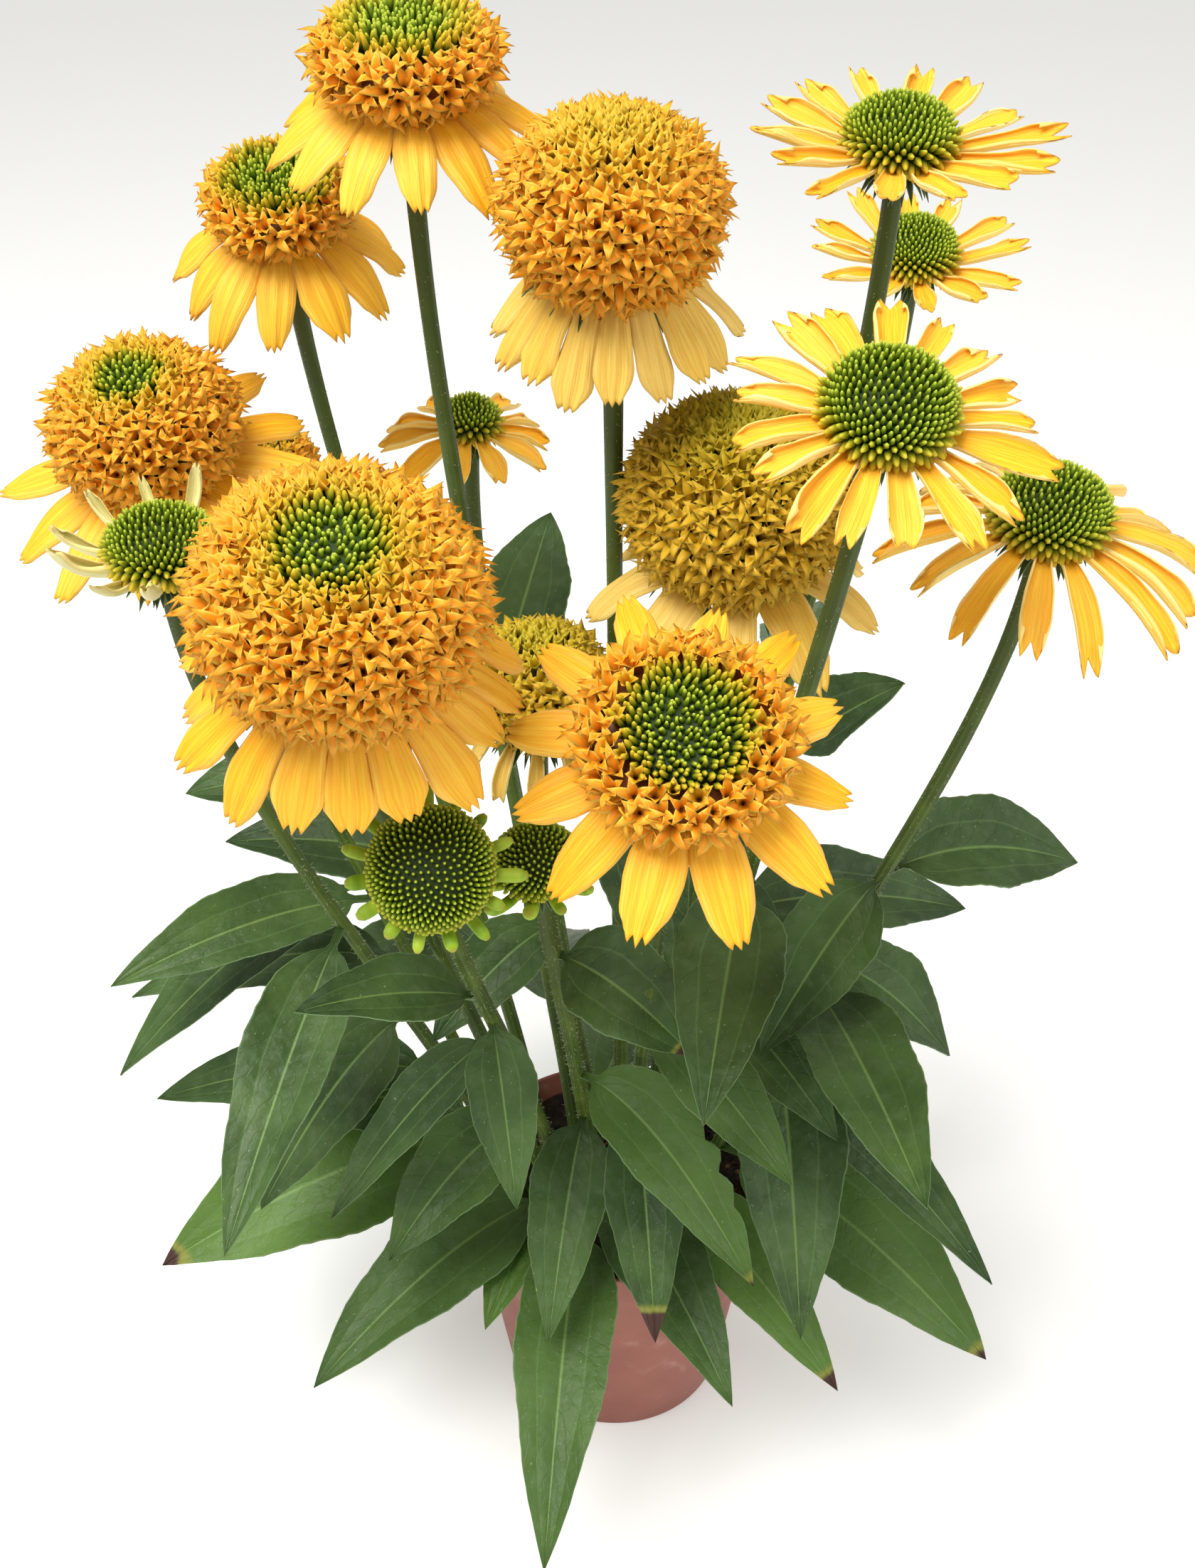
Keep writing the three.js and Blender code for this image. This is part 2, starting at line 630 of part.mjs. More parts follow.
// A dome of two half ellipsoids, covered by pointed florets set alternately in rings and columns. It is cut
// flat below, at its floor, and also above where topCut is given, and it stands on its head's origin.
function floretDome({ radius, up, low, floor, columns, rings, tip, topCut, seed }) {
  const inner = { side: radius - tip, up: up - tip, low: low - tip / 2 };
  const lowest = Math.acos(-Math.min(1, floor / inner.low));
  const highest = topCut === undefined ? 0 : Math.acos(topCut / inner.up);
  const centre = new THREE.Vector3(0, 0, floor);
  const surface = (angle, turn, out) => {
    const place = new THREE.Vector3().setFromSphericalCoords(1, angle, turn).applyAxisAngle(EAST, Math.PI / 2);
    place.multiply(new THREE.Vector3(inner.side, inner.side, angle < Math.PI / 2 ? inner.up : inner.low));
    return place.multiplyScalar(1 + out / Math.max(place.length(), 0.5 * inner.side)).add(centre);
  };
  const ringPoints = [];
  for (let r = 0; r <= rings; r += 1) {
    const ring = [];
    for (let c = 0; c < columns; c += 1) {
      const isTip = (r + c) % 2 === 1 && r > 0 && r < rings;
      const place = r * columns + c;
      const angle = highest + ((lowest - highest) * (r + (isTip ? spread(place, seed, 0.22) : 0))) / rings;
      const turn = ((c + (isTip ? spread(place, seed + 1, 0.25) : 0)) / columns) * 2 * Math.PI;
      ring.push(surface(angle, turn, isTip ? tip * (1 + spread(place, seed + 2, 0.18)) : 0));
    }
    ringPoints.push(ring);
  }
  const top = new THREE.Vector3(0, 0, floor + (topCut ?? inner.up));
  const foot = new THREE.Vector3(0, 0, 0);
  const corners = [];
  const triangle = (...places) => places.forEach((place) => corners.push(...place.toArray()));
  const firstRing = topCut === undefined ? 1 : 0;
  for (let c = 0; c < columns; c += 1) {
    const d = (c + 1) % columns;
    triangle(top, ringPoints[firstRing][c], ringPoints[firstRing][d]);
    triangle(foot, ringPoints[rings][d], ringPoints[rings][c]);
    for (let r = firstRing; r < rings; r += 1) {
      const [a, b] = [ringPoints[r][c], ringPoints[r][d]];
      const [e, f] = [ringPoints[r + 1][c], ringPoints[r + 1][d]];
      const bridge = (r + c) % 2 === 1 ? [a, e, b, b, e, f] : [a, e, f, a, f, b];
      triangle(...bridge);
    }
  }
  return solidOf(geometryOf(corners));
}

// The height above the widest place at which a head's florets are cut flat for its green centre.
function seatHeight(head) {
  const share = (head.centre.radius + 1) / (head.radius - head.floretTip);
  return (head.up - head.floretTip) * Math.sqrt(1 - share ** 2);
}

function floretsSolid(head) {
  const { radius, up, low, sunk, centre, florets } = head;
  const [columns, rings] = florets;
  const topCut = centre ? seatHeight(head) : undefined;
  const seed = head.id.charCodeAt(0);
  return floretDome({ radius, up, low, floor: sunk, columns, rings, tip: head.floretTip, topCut, seed });
}

function centreSolid(head) {
  const { radius, height } = head.centre;
  const dome = floretDome({ radius, up: height, low: 2.4, floor: 1, columns: 12, rings: 4, tip: 1.5, seed: 5 });
  return dome.translate([0, 0, head.sunk + seatHeight(head) + GAP]);
}

function coneSolid(head) {
  const { radius, up, low, sunk } = head;
  return floretDome({ radius, up, low, floor: sunk, columns: 16, rings: 6, tip: 2, seed: 9 });
}

// The whole plant

const coneflower = new THREE.Group();

coneflower.add(meshOf("pot", potSolid(), "pot", 0.55));
coneflower.add(meshOf("soil", soilSolid(HEADS), "soil", 0.95));

HEADS.forEach((head) => {
  const curve = stemCurve(head);
  const grown = LEAVES.map((leaf, index) => ({ leaf, index })).filter(({ leaf }) => leaf.stem === head.id);
  const stem = joined([
    solidOf(stemGeometry(head, curve)),
    ...grown.map(({ leaf, index }) => solidOf(leafGeometry(leaf, index, curve))),
  ]);
  coneflower.add(meshOf(`stem_${head.id}`, stem, "stem", 0.7));

  const { base, turn } = headFrame(head);
  const bloom = new THREE.Group();
  bloom.position.copy(base);
  bloom.quaternion.copy(turn);
  if (head.rays) bloom.add(meshOf(`rays_${head.id}`, raysSolid(head), head.rays.colour, 0.6));
  if (head.cone) bloom.add(meshOf(`cone_${head.id}`, coneSolid(head), "green", 0.6));
  else bloom.add(meshOf(`florets_${head.id}`, floretsSolid(head), head.id === "h" ? "olive" : "orange", 0.6));
  if (head.centre) bloom.add(meshOf(`centre_${head.id}`, centreSolid(head), "green", 0.6));
  coneflower.add(bloom);
});

export default coneflower;
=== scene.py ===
# Potted coneflower: a double yellow coneflower in its round plastic pot, dressed over the CAD solids.
# Lengths are in millimetres until a mesh is made. +Z is up and -Y is the front, as in the CAD model.

import json
import math

import bpy
import numpy as np
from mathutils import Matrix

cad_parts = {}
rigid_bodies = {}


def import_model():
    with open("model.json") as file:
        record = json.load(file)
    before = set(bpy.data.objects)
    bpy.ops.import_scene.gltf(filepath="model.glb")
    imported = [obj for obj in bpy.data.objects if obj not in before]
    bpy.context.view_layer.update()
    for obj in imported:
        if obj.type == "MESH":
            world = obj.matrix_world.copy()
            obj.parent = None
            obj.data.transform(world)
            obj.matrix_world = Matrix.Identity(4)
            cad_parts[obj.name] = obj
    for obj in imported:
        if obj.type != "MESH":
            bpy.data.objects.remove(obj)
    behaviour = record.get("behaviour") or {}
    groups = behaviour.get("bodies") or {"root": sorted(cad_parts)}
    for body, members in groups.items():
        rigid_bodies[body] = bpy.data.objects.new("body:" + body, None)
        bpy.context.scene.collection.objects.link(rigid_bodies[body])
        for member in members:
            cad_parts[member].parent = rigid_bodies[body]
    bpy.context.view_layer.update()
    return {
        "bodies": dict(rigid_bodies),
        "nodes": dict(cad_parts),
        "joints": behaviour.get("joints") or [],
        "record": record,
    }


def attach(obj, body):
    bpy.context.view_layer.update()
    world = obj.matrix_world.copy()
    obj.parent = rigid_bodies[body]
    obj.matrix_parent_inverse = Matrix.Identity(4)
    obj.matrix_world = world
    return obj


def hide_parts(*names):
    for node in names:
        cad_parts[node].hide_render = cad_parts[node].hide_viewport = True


# Units and small numbers

MM = 0.001
TURN = 2 * math.pi
GOLDEN_ANGLE = math.pi * (3 - math.sqrt(5))
UP = np.array([0.0, 0.0, 1.0])
EAST = np.array([1.0, 0.0, 0.0])

# The camera of the photograph

LENS = 42.45
SENSOR = 36
CAMERA_PLACE = (-7.6, -570, 679)
CAMERA_PITCH = 33.3

# The pot and its filling

GAP = 0.3
POT = dict(height=110, rim=64, base=47, wall=2, floor=3, band=14, step=2.5, sides=128)
DRAIN = dict(radius=4, ring=30, count=4, sides=24)
SOIL_TOP = 101
SOIL_BOTTOM = 60
SOIL_CLEARANCE = 0.8
SOIL_GRID = dict(rings=44, sides=120, rough=0.7)
CRUMBS = dict(count=900, margin=3, least=0.6, more=1.9, pale_share=0.18)
STEM_DEPTH = 18

# A leafy stem has three materials, in this order: its skin, its leaves and its hairs

LEAF_KIND = 1
HAIR_KIND = 2

# Stems: radius, how they leave the soil and reach the head, and their fine look

STEM = dict(radius=2.7, rise=0.35, low_reach=0.35, top_reach=0.3, sides=24, steps=56, ribs=8, rib=0.05)
HAIRS = dict(count=640, length=1.5, radius=0.09)
CUP = dict(hub=0.46, top=0.39, share=0.28, height=2, sides=32)
BRACT = dict(count=13, rows=7, sheet=0.45)

# Rows of bracts: where they stand and where their tips are, as shares of the cup's radius and height, and
# how wide a bract is in millimetres
BRACT_ROWS = [
    dict(foot=(0.45, 0.12), tip=(1.3, -0.35), width=2.8),
    dict(foot=(0.72, 0.42), tip=(1.75, -0.1), width=3.2),
    dict(foot=(0.9, 0.78), tip=(2.0, 0.35), width=3.4),
]

# Leaves

LEAF = dict(
    stalk_share=0.12, stalk_half=1.5, arch_share=0.42, fold=0.3, fold_power=1.45, wave=0.1, front=30,
    rows=40, sheet=0.55,
)
LEAF_COLUMNS = (0, 0.04, 0.12, 0.27, 0.43, 0.5, 0.57, 0.72, 0.87, 0.96, 1)
LEAF_VEIN = 0.5

# How a leaf's face and underside swell and sink: each groove or rib has its depth and half width
LEAF_RELIEF = dict(
    groove=(0.4, 0.07), vein=(0.3, 0.06), quilt=0.28, quilt_full=12, rib=(0.85, 0.1), stout=1.6,
)

# Rays: how they stand on their hub, and for each kind the half widths along the ray, the shape of its end,
# the curl of its edges at root and end (radians) and the depth of its pleats

RAY = dict(hub=1.6, layer=3, room=0.88, rows=18, columns=15, sheet=0.6)
RAY_FORMS = {
    "broad": dict(
        rows=[(0, 0.85), (0.3, 0.98), (0.55, 1), (0.8, 0.84), (0.93, 0.64), (1, 0.5)],
        end=[(0, 0), (0.32, 0.075), (0.55, 0.02), (0.8, 0.05), (1, 0.13)],
        curl=(-0.7, -0.35), power=1, pleat=0.5, twist=10, widen=1.14,
    ),
    "narrow": dict(
        rows=[(0, 0.5), (0.2, 0.6), (0.5, 0.95), (0.75, 1.08), (0.92, 0.9), (1, 0.7)],
        end=[(0, 0.11), (0.4, 0.02), (0.6, 0), (0.8, 0.06), (1, 0.16)],
        curl=(3.0, 2.3), power=2.4, pleat=0.1, twist=22, widen=1.06,
    ),
    "quill": dict(
        rows=[(0, 1), (0.38, 0.95), (0.72, 0.85), (0.9, 0.8), (1, 0.6)],
        end=[(0, 0.09), (0.3, 0), (0.6, 0.05), (1, 0.12)],
        curl=(2.8, 2.3), power=1, pleat=0, twist=8, widen=0.86,
    ),
}
BUD_RAY = dict(sides=10, rows=12, halves=[(0, 0.7), (0.3, 0.8), (0.8, 0.95), (0.94, 0.82), (1, 0.45)])

# Florets of a double head: a tube and a star of folded lobes, with the half widths along a lobe. Their
# density is to a square millimetre of the dome. The lowest, from a share of them on, hang as a skirt.
LOBE = dict(count=5, tube=4, halves=(0.85, 1.75, 1.3), fold=0.38, sheet=(0.05, 0.4))
FLORET = dict(density=0.05, crowd=1.35, least_open=0.25, skirt_from=0.68, askew=0.18)

# The plain dome under florets and spikes, and how deep it lies under the florets
CORE = dict(sides=40, rows=18, depth=1.6)

# Green cones: how far their spikes stand out, how many there are to a square millimetre, how upright, long
# and thick they are, how plump and ripe the outer ones are, and how blunt their tips are
CONES = {
    "spiked": dict(
        stand=3.6, density=0.34, upright=1.0, length=5.6, thick=0.98, plump=0.5, ripe=0.85, blunt=0.36,
    ),
    "bud": dict(
        stand=2.2, density=0.5, upright=0.1, length=4.0, thick=0.86, plump=0.12, ripe=0.4, blunt=0.55,
    ),
}

# A spike's girth at shares of its length, before its blunt tip, and the green eye of a double head
SPIKE_ROWS = ((0.0, 0.75), (0.45, 1.0), (0.8, 0.7))
SPIKE_SIDES = 5
EYE = dict(density=0.92, lean=0.5, askew=0.26, length=0.66, longer=0.22, thick=0.78, plump=0.36, blunt=0.4)

# Colours, as sRGB numbers between 0 and 255

POT_COLOURS = dict(dark=(140, 82, 70), light=(156, 96, 82), dust=(190, 150, 135), band=(196, 132, 112))
SOIL_COLOURS = dict(dark=(24, 18, 16), light=(52, 38, 30), bark=(112, 80, 56))
STEM_COLOURS = dict(
    dark=(56, 76, 18), light=(84, 104, 30), ribs=(108, 124, 56), top=(62, 76, 22), bract=(44, 62, 28),
    bract_edge=(128, 148, 92), hair=(206, 212, 176),
)
LEAF_COLOURS = dict(
    dark=(44, 67, 30), light=(70, 95, 46), fresh=(98, 132, 52), mottle=(92, 114, 78),
    specks=(176, 188, 150), veinlet=(30, 52, 26), side_vein=(112, 144, 84), midrib=(126, 156, 86),
    edge=(128, 154, 104), under=(120, 148, 104), yellow=(206, 196, 60), wilting=(128, 132, 58),
    withered=(70, 48, 40),
)
RAY_COLOURS = {
    "gold": dict(main=(250, 196, 40), deep=(242, 168, 26), edge=(248, 214, 96), back=(240, 204, 100)),
    "pale": dict(main=(240, 204, 92), deep=(228, 180, 64), edge=(244, 226, 152), back=(240, 220, 146)),
    "cream": dict(main=(232, 220, 156), deep=(204, 196, 110), edge=(240, 232, 182), back=(236, 228, 176)),
    "lime": dict(main=(160, 190, 40), deep=(112, 146, 18), edge=(196, 208, 80), back=(150, 182, 30)),
}
RAY_ENDS = dict(rim=(250, 226, 146), tip=(186, 124, 30))
# A floret's throat colour darkens its tube, the roots of its lobes and the plain dome beneath: painted
# shade deep among the crowded florets.
FLORET_COLOURS = {
    "orange": dict(lobe=(240, 144, 12), edge=(242, 206, 78), shaded_throat=(116, 58, 2)),
    "olive": dict(lobe=(208, 162, 22), edge=(206, 186, 66), shaded_throat=(70, 50, 4)),
}
FLORET_AGES = dict(young=(176, 170, 30), low=(246, 170, 24))
# The root colour darkens the foot of each spike and the plain dome between the spikes: painted shade among
# the crowded spikes.
SPIKE_COLOURS = dict(
    root=(40, 58, 2), side=(118, 142, 12), other=(76, 106, 6), tip=(176, 188, 56), ripe=(206, 168, 24),
)
FLOOR_COLOURS = dict(paper=(238, 238, 236), glow=(255, 255, 255))

# Light: each lamp's place in metres, its size and its power, and the light from all round

LAMPS = {
    "sky_light": dict(place=(-0.6, -0.6, 2.0), size=1.2, power=48),
    "side_light": dict(place=(1.5, -0.6, 1.0), size=1.2, power=8),
}
LAMP_AIM = (0.0, 0.0, 0.35)
SKY = dict(tint=(244, 243, 240), strength=0.62)
FLOOR = dict(half=8.0, glow=0.22)

# Each flower head: the middle of its dome, its lean and the way it leans (degrees), where its stem stands
# in the soil, and its dome: radius, height above and depth below the widest place, and how far below it
# the rays are set. A double head has the length of a floret (tip) and may have a green eye (centre: radius
# and height). Rays have their slopes at root and end and may have a turn about the head's axis (degrees).
# A colour names the CAD model's slot, and a look names the material here where it isn't the same.
HEADS = {
    "a": dict(
        at=(-66, 21, 556), lean=14, toward=-87, root=(-13, 4), dome=(31, 14, 13, 9), tip=5,
        centre=(18, 8),
        rays=dict(kind="broad", count=13, length=37, width=13, start=-12, end=-58, colour="gold"),
    ),
    "b": dict(
        at=(-116, 64, 501), lean=20, toward=-91, root=(-26, 14), dome=(27, 12, 13, 9), tip=5,
        centre=(17, 8),
        rays=dict(kind="broad", count=12, length=37, width=13, start=-12, end=-68, colour="gold"),
    ),
    "c": dict(
        at=(-3, -29, 525), lean=17, toward=-91, root=(3, 5), dome=(34, 27, 25, 17), tip=5.5,
        rays=dict(kind="broad", count=16, length=34, width=13, start=-38, end=-66, colour="pale"),
    ),
    "d": dict(
        at=(86, 17, 534), lean=11, toward=-87, root=(19, 9), dome=(19, 11, 9, 6), cone="spiked",
        rays=dict(kind="narrow", count=14, length=40, width=8, start=4, end=20, colour="gold"),
    ),
    "e": dict(
        at=(118, 155, 456), lean=14, toward=-88, root=(25, 27), dome=(18, 12, 10, 7), cone="spiked",
        rays=dict(kind="narrow", count=12, length=36, width=8, start=4, end=18, colour="gold"),
    ),
    "f": dict(
        at=(70, -105, 494), lean=25, toward=-83, root=(15, -9), dome=(20, 13, 9, 6), cone="spiked",
        rays=dict(kind="narrow", count=17, length=36, width=8, start=6, end=-14, colour="gold"),
    ),
    "g": dict(
        at=(130, -56, 441), lean=12, toward=-76, root=(30, -3), dome=(20, 13, 9, 6), cone="spiked",
        rays=dict(kind="narrow", count=14, length=42, width=9, start=0, end=-40, colour="gold"),
    ),
    "h": dict(
        at=(38, -18, 427), lean=11, toward=-95, root=(11, 15), dome=(38, 33, 28, 20), tip=6,
        florets=dict(colour="olive"),
        rays=dict(kind="broad", count=9, length=42, width=15, start=-18, end=-62, turn=25, colour="pale"),
    ),
    "i": dict(
        at=(17, -130, 406), lean=34, toward=-88, root=(3, -17), dome=(33, 12, 13, 8), tip=5.5,
        centre=(18, 7),
        rays=dict(kind="broad", count=12, length=40, width=14, start=-4, end=-24, turn=18, colour="gold"),
    ),
    "j": dict(
        at=(-56, -135, 364), lean=46, toward=-83, root=(-10, -27), dome=(19, 10, 8, 5), cone="bud",
        rays=dict(kind="bud", count=15, length=20, width=4.6, start=-10, end=30, colour="lime"),
    ),
    "k": dict(
        at=(-160, 16, 439), lean=21, toward=-102, root=(-37, 2), dome=(33, 25, 20, 14), tip=5.5,
        centre=(11, 6),
        rays=dict(kind="broad", count=12, length=45, width=14, start=-4, end=-34, colour="gold"),
    ),
    "l": dict(
        at=(-144, -46, 425), lean=10, toward=-87, root=(-32, -10), dome=(19, 10, 9, 6), cone="spiked",
        rays=dict(kind="quill", count=11, length=30, width=5, start=-12, end=66, turn=10, colour="pale",
                  look="cream"),
    ),
    "m": dict(
        at=(-77, -130, 449), lean=24, toward=-84, root=(-22, -17), dome=(41, 29, 28, 21), tip=6,
        centre=(15, 6),
        rays=dict(kind="broad", count=17, length=40, width=15, start=-16, end=-64, colour="gold"),
    ),
    "n": dict(
        at=(-57, 110, 403), lean=8, toward=-72, root=(-14, 27), dome=(13, 9, 7, 5), cone="spiked",
        rays=dict(kind="narrow", count=11, length=28, width=8, start=2, end=-26, colour="gold"),
    ),
    "o": dict(
        at=(-28, -14, 356), lean=10, toward=-82, root=(-5, 9), dome=(26, 21, 18, 13), tip=5,
        florets=dict(colour="orange", look="olive"),
        rays=dict(kind="narrow", count=12, length=24, width=6, start=-20, end=-75, colour="pale"),
    ),
    "p": dict(
        at=(-144, 140, 370), lean=13, toward=-57, root=(-25, 28), dome=(22, 16, 15, 11), tip=4.5,
    ),
    "r": dict(
        at=(-27, -96, 339), lean=16, toward=-108, root=(-6, -7), dome=(14.5, 10, 7, 5), cone="bud",
        rays=dict(kind="bud", count=11, length=18, width=4.6, start=-25, end=70, colour="lime"),
    ),
}

# Each leaf: its stem, the height where it leaves it, its tip, its greatest width and how high it arches
LEAVES = [
    ("j", 112, (-27, -168, 74), 38, 38),
    ("m", 118, (-118, -98, 88), 40, 26),
    ("m", 110, (-52, -78, 98), 24, 20),
    ("k", 125, (-186, -45, 98), 58, 26),
    ("k", 240, (-200, -12, 172), 32, 28),
    ("k", 205, (-208, 44, 166), 32, 24),
    ("l", 178, (-190, -2, 150), 34, 20),
    ("j", 262, (-108, -100, 280), 26, 10),
    ("j", 240, (-106, -88, 170), 22, 18),
    ("l", 212, (-138, -62, 148), 38, 22),
    ("l", 150, (-138, -4, 148), 34, 18),
    ("j", 250, (-36, -108, 196), 25, 12),
    ("r", 290, (24, -106, 266), 36, 12),
    ("r", 208, (50, -102, 150), 34, 32),
    ("i", 184, (14, -108, 126), 30, 16),
    ("r", 125, (44, -110, 92), 36, 24),
    ("g", 195, (68, -108, 128), 42, 26),
    ("g", 130, (148, -78, 80), 50, 30),
    ("f", 118, (86, -98, 86), 32, 20),
    ("g", 284, (52, -58, 224), 34, 12),
    ("g", 284, (176, 4, 266), 40, 20),
    ("g", 238, (130, -25, 194), 34, 16),
    ("f", 232, (80, -78, 200), 28, 12),
    ("e", 250, (120, 96, 292), 36, 6),
    ("n", 285, (-28, 172, 334), 42, 4),
    ("b", 230, (-162, 58, 238), 38, 16),
    ("p", 225, (-190, 112, 226), 38, 18),
    ("d", 140, (124, 10, 126), 38, 16),
    ("c", 300, (20, -62, 248), 32, 12),
    ("b", 180, (-142, 92, 140), 40, 24),
    ("p", 150, (-112, 150, 104), 42, 26),
    ("p", 250, (-62, 178, 222), 34, 16),
    ("n", 150, (-40, 168, 100), 44, 30),
    ("e", 170, (130, 140, 120), 44, 26),
    ("e", 300, (70, 178, 262), 32, 16),
    ("h", 190, (28, 138, 146), 40, 24),
    ("d", 230, (150, 62, 200), 38, 18),
    ("o", 135, (30, 150, 92), 44, 26),
    ("e", 125, (104, 112, 84), 42, 22),
    ("i", 240, (60, -110, 210), 28, 12),
    ("m", 172, (-86, -88, 148), 34, 20),
    ("r", 176, (-26, -106, 124), 30, 20),
    ("o", 240, (-70, -40, 214), 30, 14),
    ("h", 250, (66, 4, 226), 28, 12),
    ("g", 227, (100, -142, 232), 38, 12),
    ("l", 258, (-133, -138, 205), 34, 12),
    ("f", 288, (26, -140, 267), 38, 18),
    ("g", 189, (145, -79, 125), 28, 14),
    ("k", 233, (-191, -30, 233), 32, 16),
]

# Marks of age on some leaves, by stem and height: how far the tip has browned (share of the length), how
# yellow or light the blade is, a hole (along, across and its half sizes) and bites out of an edge (along,
# depth, side)
LEAF_MARKS = {
    ("i", 184): dict(brown=0.1),
    ("k", 125): dict(brown=0.05, light=0.5),
    ("g", 130): dict(brown=0.03, light=0.3),
    ("r", 290): dict(brown=0.07, hole=(0.66, -0.3, 0.045, 0.14)),
    ("r", 208): dict(brown=0.02, light=0.4, bites=[(0.6, 0.22, -1), (0.7, 0.3, -1), (0.8, 0.2, -1)]),
    ("d", 140): dict(yellow=1.0, light=0.6),
    ("j", 112): dict(light=0.15),
    ("m", 110): dict(light=0.5),
    ("f", 118): dict(light=0.5, brown=0.06),
    ("i", 240): dict(light=0.3),
}


# Numbers that repeat from run to run


def draw(i, j):
    """A repeatable draw between 0 and 1 for the number of a thing and the number of the draw."""
    value = np.sin(i * 12.9898 + j * 78.233) * 43758.5453
    return value - np.floor(value)


def spread(i, j, amount):
    """A draw between minus and plus an amount."""
    return (2 * draw(i, j) - 1) * amount


def jitter(k, seed, amount):
    """Small sideways draws, to set many directions a little askew."""
    return xyz(spread(k, seed, amount), spread(k, seed + 1, amount), 0)


def bell(value, width):
    """1 where the value is 0, falling smoothly to nothing within about two widths."""
    return np.exp(-((value / width) ** 2))


# Vectors


def xyz(x, y, z):
    """Points or directions from their three parts, which may be numbers or arrays."""
    return np.stack(np.broadcast_arrays(x, y, z), axis=-1)


def unit(vectors):
    vectors = np.asarray(vectors, float)
    return vectors / np.linalg.norm(vectors, axis=-1, keepdims=True)


def turned(vectors, axes, angles):
    """Vectors turned about unit axes by angles in radians."""
    angles = np.asarray(angles, float)[..., None]
    dots = np.sum(vectors * axes, axis=-1, keepdims=True)
    swept = np.cross(axes, vectors)
    return vectors * np.cos(angles) + swept * np.sin(angles) + axes * dots * (1 - np.cos(angles))


def frames_along(axes, turn):
    """A square frame for each axis, turned about it. The rows of a frame are its X, Y and Z."""
    axes = unit(axes)
    across = np.where(np.abs(axes[:, 2:]) > 0.9, EAST, UP)
    first = unit(np.cross(across, axes))
    first = turned(first, axes, turn)
    return np.stack([first, np.cross(axes, first), axes], axis=1)


def turn_from_up(axis):
    """The matrix of the shortest turn that brings UP to an axis. Points are rows."""
    swing = np.cross(UP, axis)
    skew = np.array([[0, -swing[2], swing[1]], [swing[2], 0, -swing[0]], [-swing[1], swing[0], 0]])
    return (np.eye(3) + skew + skew @ skew / (1 + axis[2])).T


# Meshes


class Shape:
    """Points and faces gathered for one mesh.

    Each point has a place (where it lies on its leaf, ray or floret) and a tint, which materials read.
    """

    def __init__(self):
        self.points = []
        self.places = []
        self.tints = []
        self.faces = []
        self.kinds = []
        self.total = 0

    def add(self, points, faces, place=(0, 0, 0), tint=(0, 0, 0), kind=0):
        points = np.reshape(points, (-1, 3))
        self.points.append(points)
        self.places.append(np.broadcast_to(place, points.shape))
        self.tints.append(np.broadcast_to(tint, points.shape))
        for part in faces:
            self.faces.append(np.asarray(part) + self.total)
            self.kinds.append(np.full(len(part), kind))
        self.total += len(points)

    def add_copies(self, points, faces, place=(0, 0, 0), tint=(0, 0, 0), kind=0):
        """Adds many copies of one form, whose points are given as copies by points by 3."""
        copies, count = points.shape[:2]
        steps = (np.arange(copies) * count)[:, None, None]
        many = [(np.asarray(part)[None] + steps).reshape(-1, len(part[0])) for part in faces]
        place = np.broadcast_to(place, points.shape).reshape(-1, 3)
        tint = np.broadcast_to(tint, points.shape).reshape(-1, 3)
        self.add(points, many, place, tint, kind)

    def carry(self, frame, start):
        """Moves every point added since start from a head's own frame to its place on the plant."""
        for k in range(start, len(self.points)):
            self.points[k] = self.points[k] @ frame["turn"] + frame["base"]

    def mesh(self, name):
        mesh = bpy.data.meshes.new(name)
        corners = np.concatenate([part.ravel() for part in self.faces])
        sizes = np.concatenate([np.full(len(part), part.shape[1]) for part in self.faces])
        mesh.vertices.add(self.total)
        mesh.vertices.foreach_set("co", (np.concatenate(self.points) * MM).ravel())
        mesh.loops.add(len(corners))
        mesh.loops.foreach_set("vertex_index", corners.astype(np.int32))
        mesh.polygons.add(len(sizes))
        mesh.polygons.foreach_set("loop_start", (np.cumsum(sizes) - sizes).astype(np.int32))
        mesh.polygons.foreach_set("material_index", np.concatenate(self.kinds).astype(np.int32))
        for title, values in (("place", self.places), ("tint", self.tints)):
            layer = mesh.attributes.new(title, "FLOAT_VECTOR", "POINT")
            layer.data.foreach_set("vector", np.concatenate(values).astype(np.float32).ravel())
        mesh.update(calc_edges=True)
        mesh.validate()
        return mesh


def add_piece(name, shape, materials, nodes, smooth=True):
    """Makes a shape into a visible piece that stands for one node of the CAD model."""
    mesh = shape.mesh(name)
    for material in materials:
        mesh.materials.append(material)
    mesh.polygons.foreach_set("use_smooth", [smooth] * len(mesh.polygons))
    piece = bpy.data.objects.new(name, mesh)
    bpy.context.scene.collection.objects.link(piece)
    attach(piece, "root")
    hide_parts(*nodes)
    return piece


def grid_faces(rows, columns, wrap=False):
    """The four-sided faces of a grid of points, whose columns close up in a ring where wrap is set."""
    across = columns if wrap else columns - 1
    i, j = np.meshgrid(np.arange(rows - 1), np.arange(across), indexing="ij")
    after = (j + 1) % columns
    corners = [i * columns + j, i * columns + after, (i + 1) * columns + after, (i + 1) * columns + j]
    return np.stack(corners, axis=-1).reshape(-1, 4)


def fan_faces(ring, middle, flip=False):
    after = np.roll(ring, -1)
    faces = np.stack([ring, after, np.full(len(ring), middle)], axis=-1)
    return faces[:, ::-1] if flip else faces


def circle(sides):
    """The angles of evenly spaced points round a circle."""
    return np.arange(sides) / sides * TURN


def around(angle):
    """Level directions at angles round the Z axis."""
    return xyz(np.cos(angle), np.sin(angle), 0)


def lathe(outline, sides):
    """Rings of points round the Z axis, one for each radius and height of an outline."""
    return np.array([[(r * math.cos(a), r * math.sin(a), z) for a in circle(sides)] for r, z in outline])


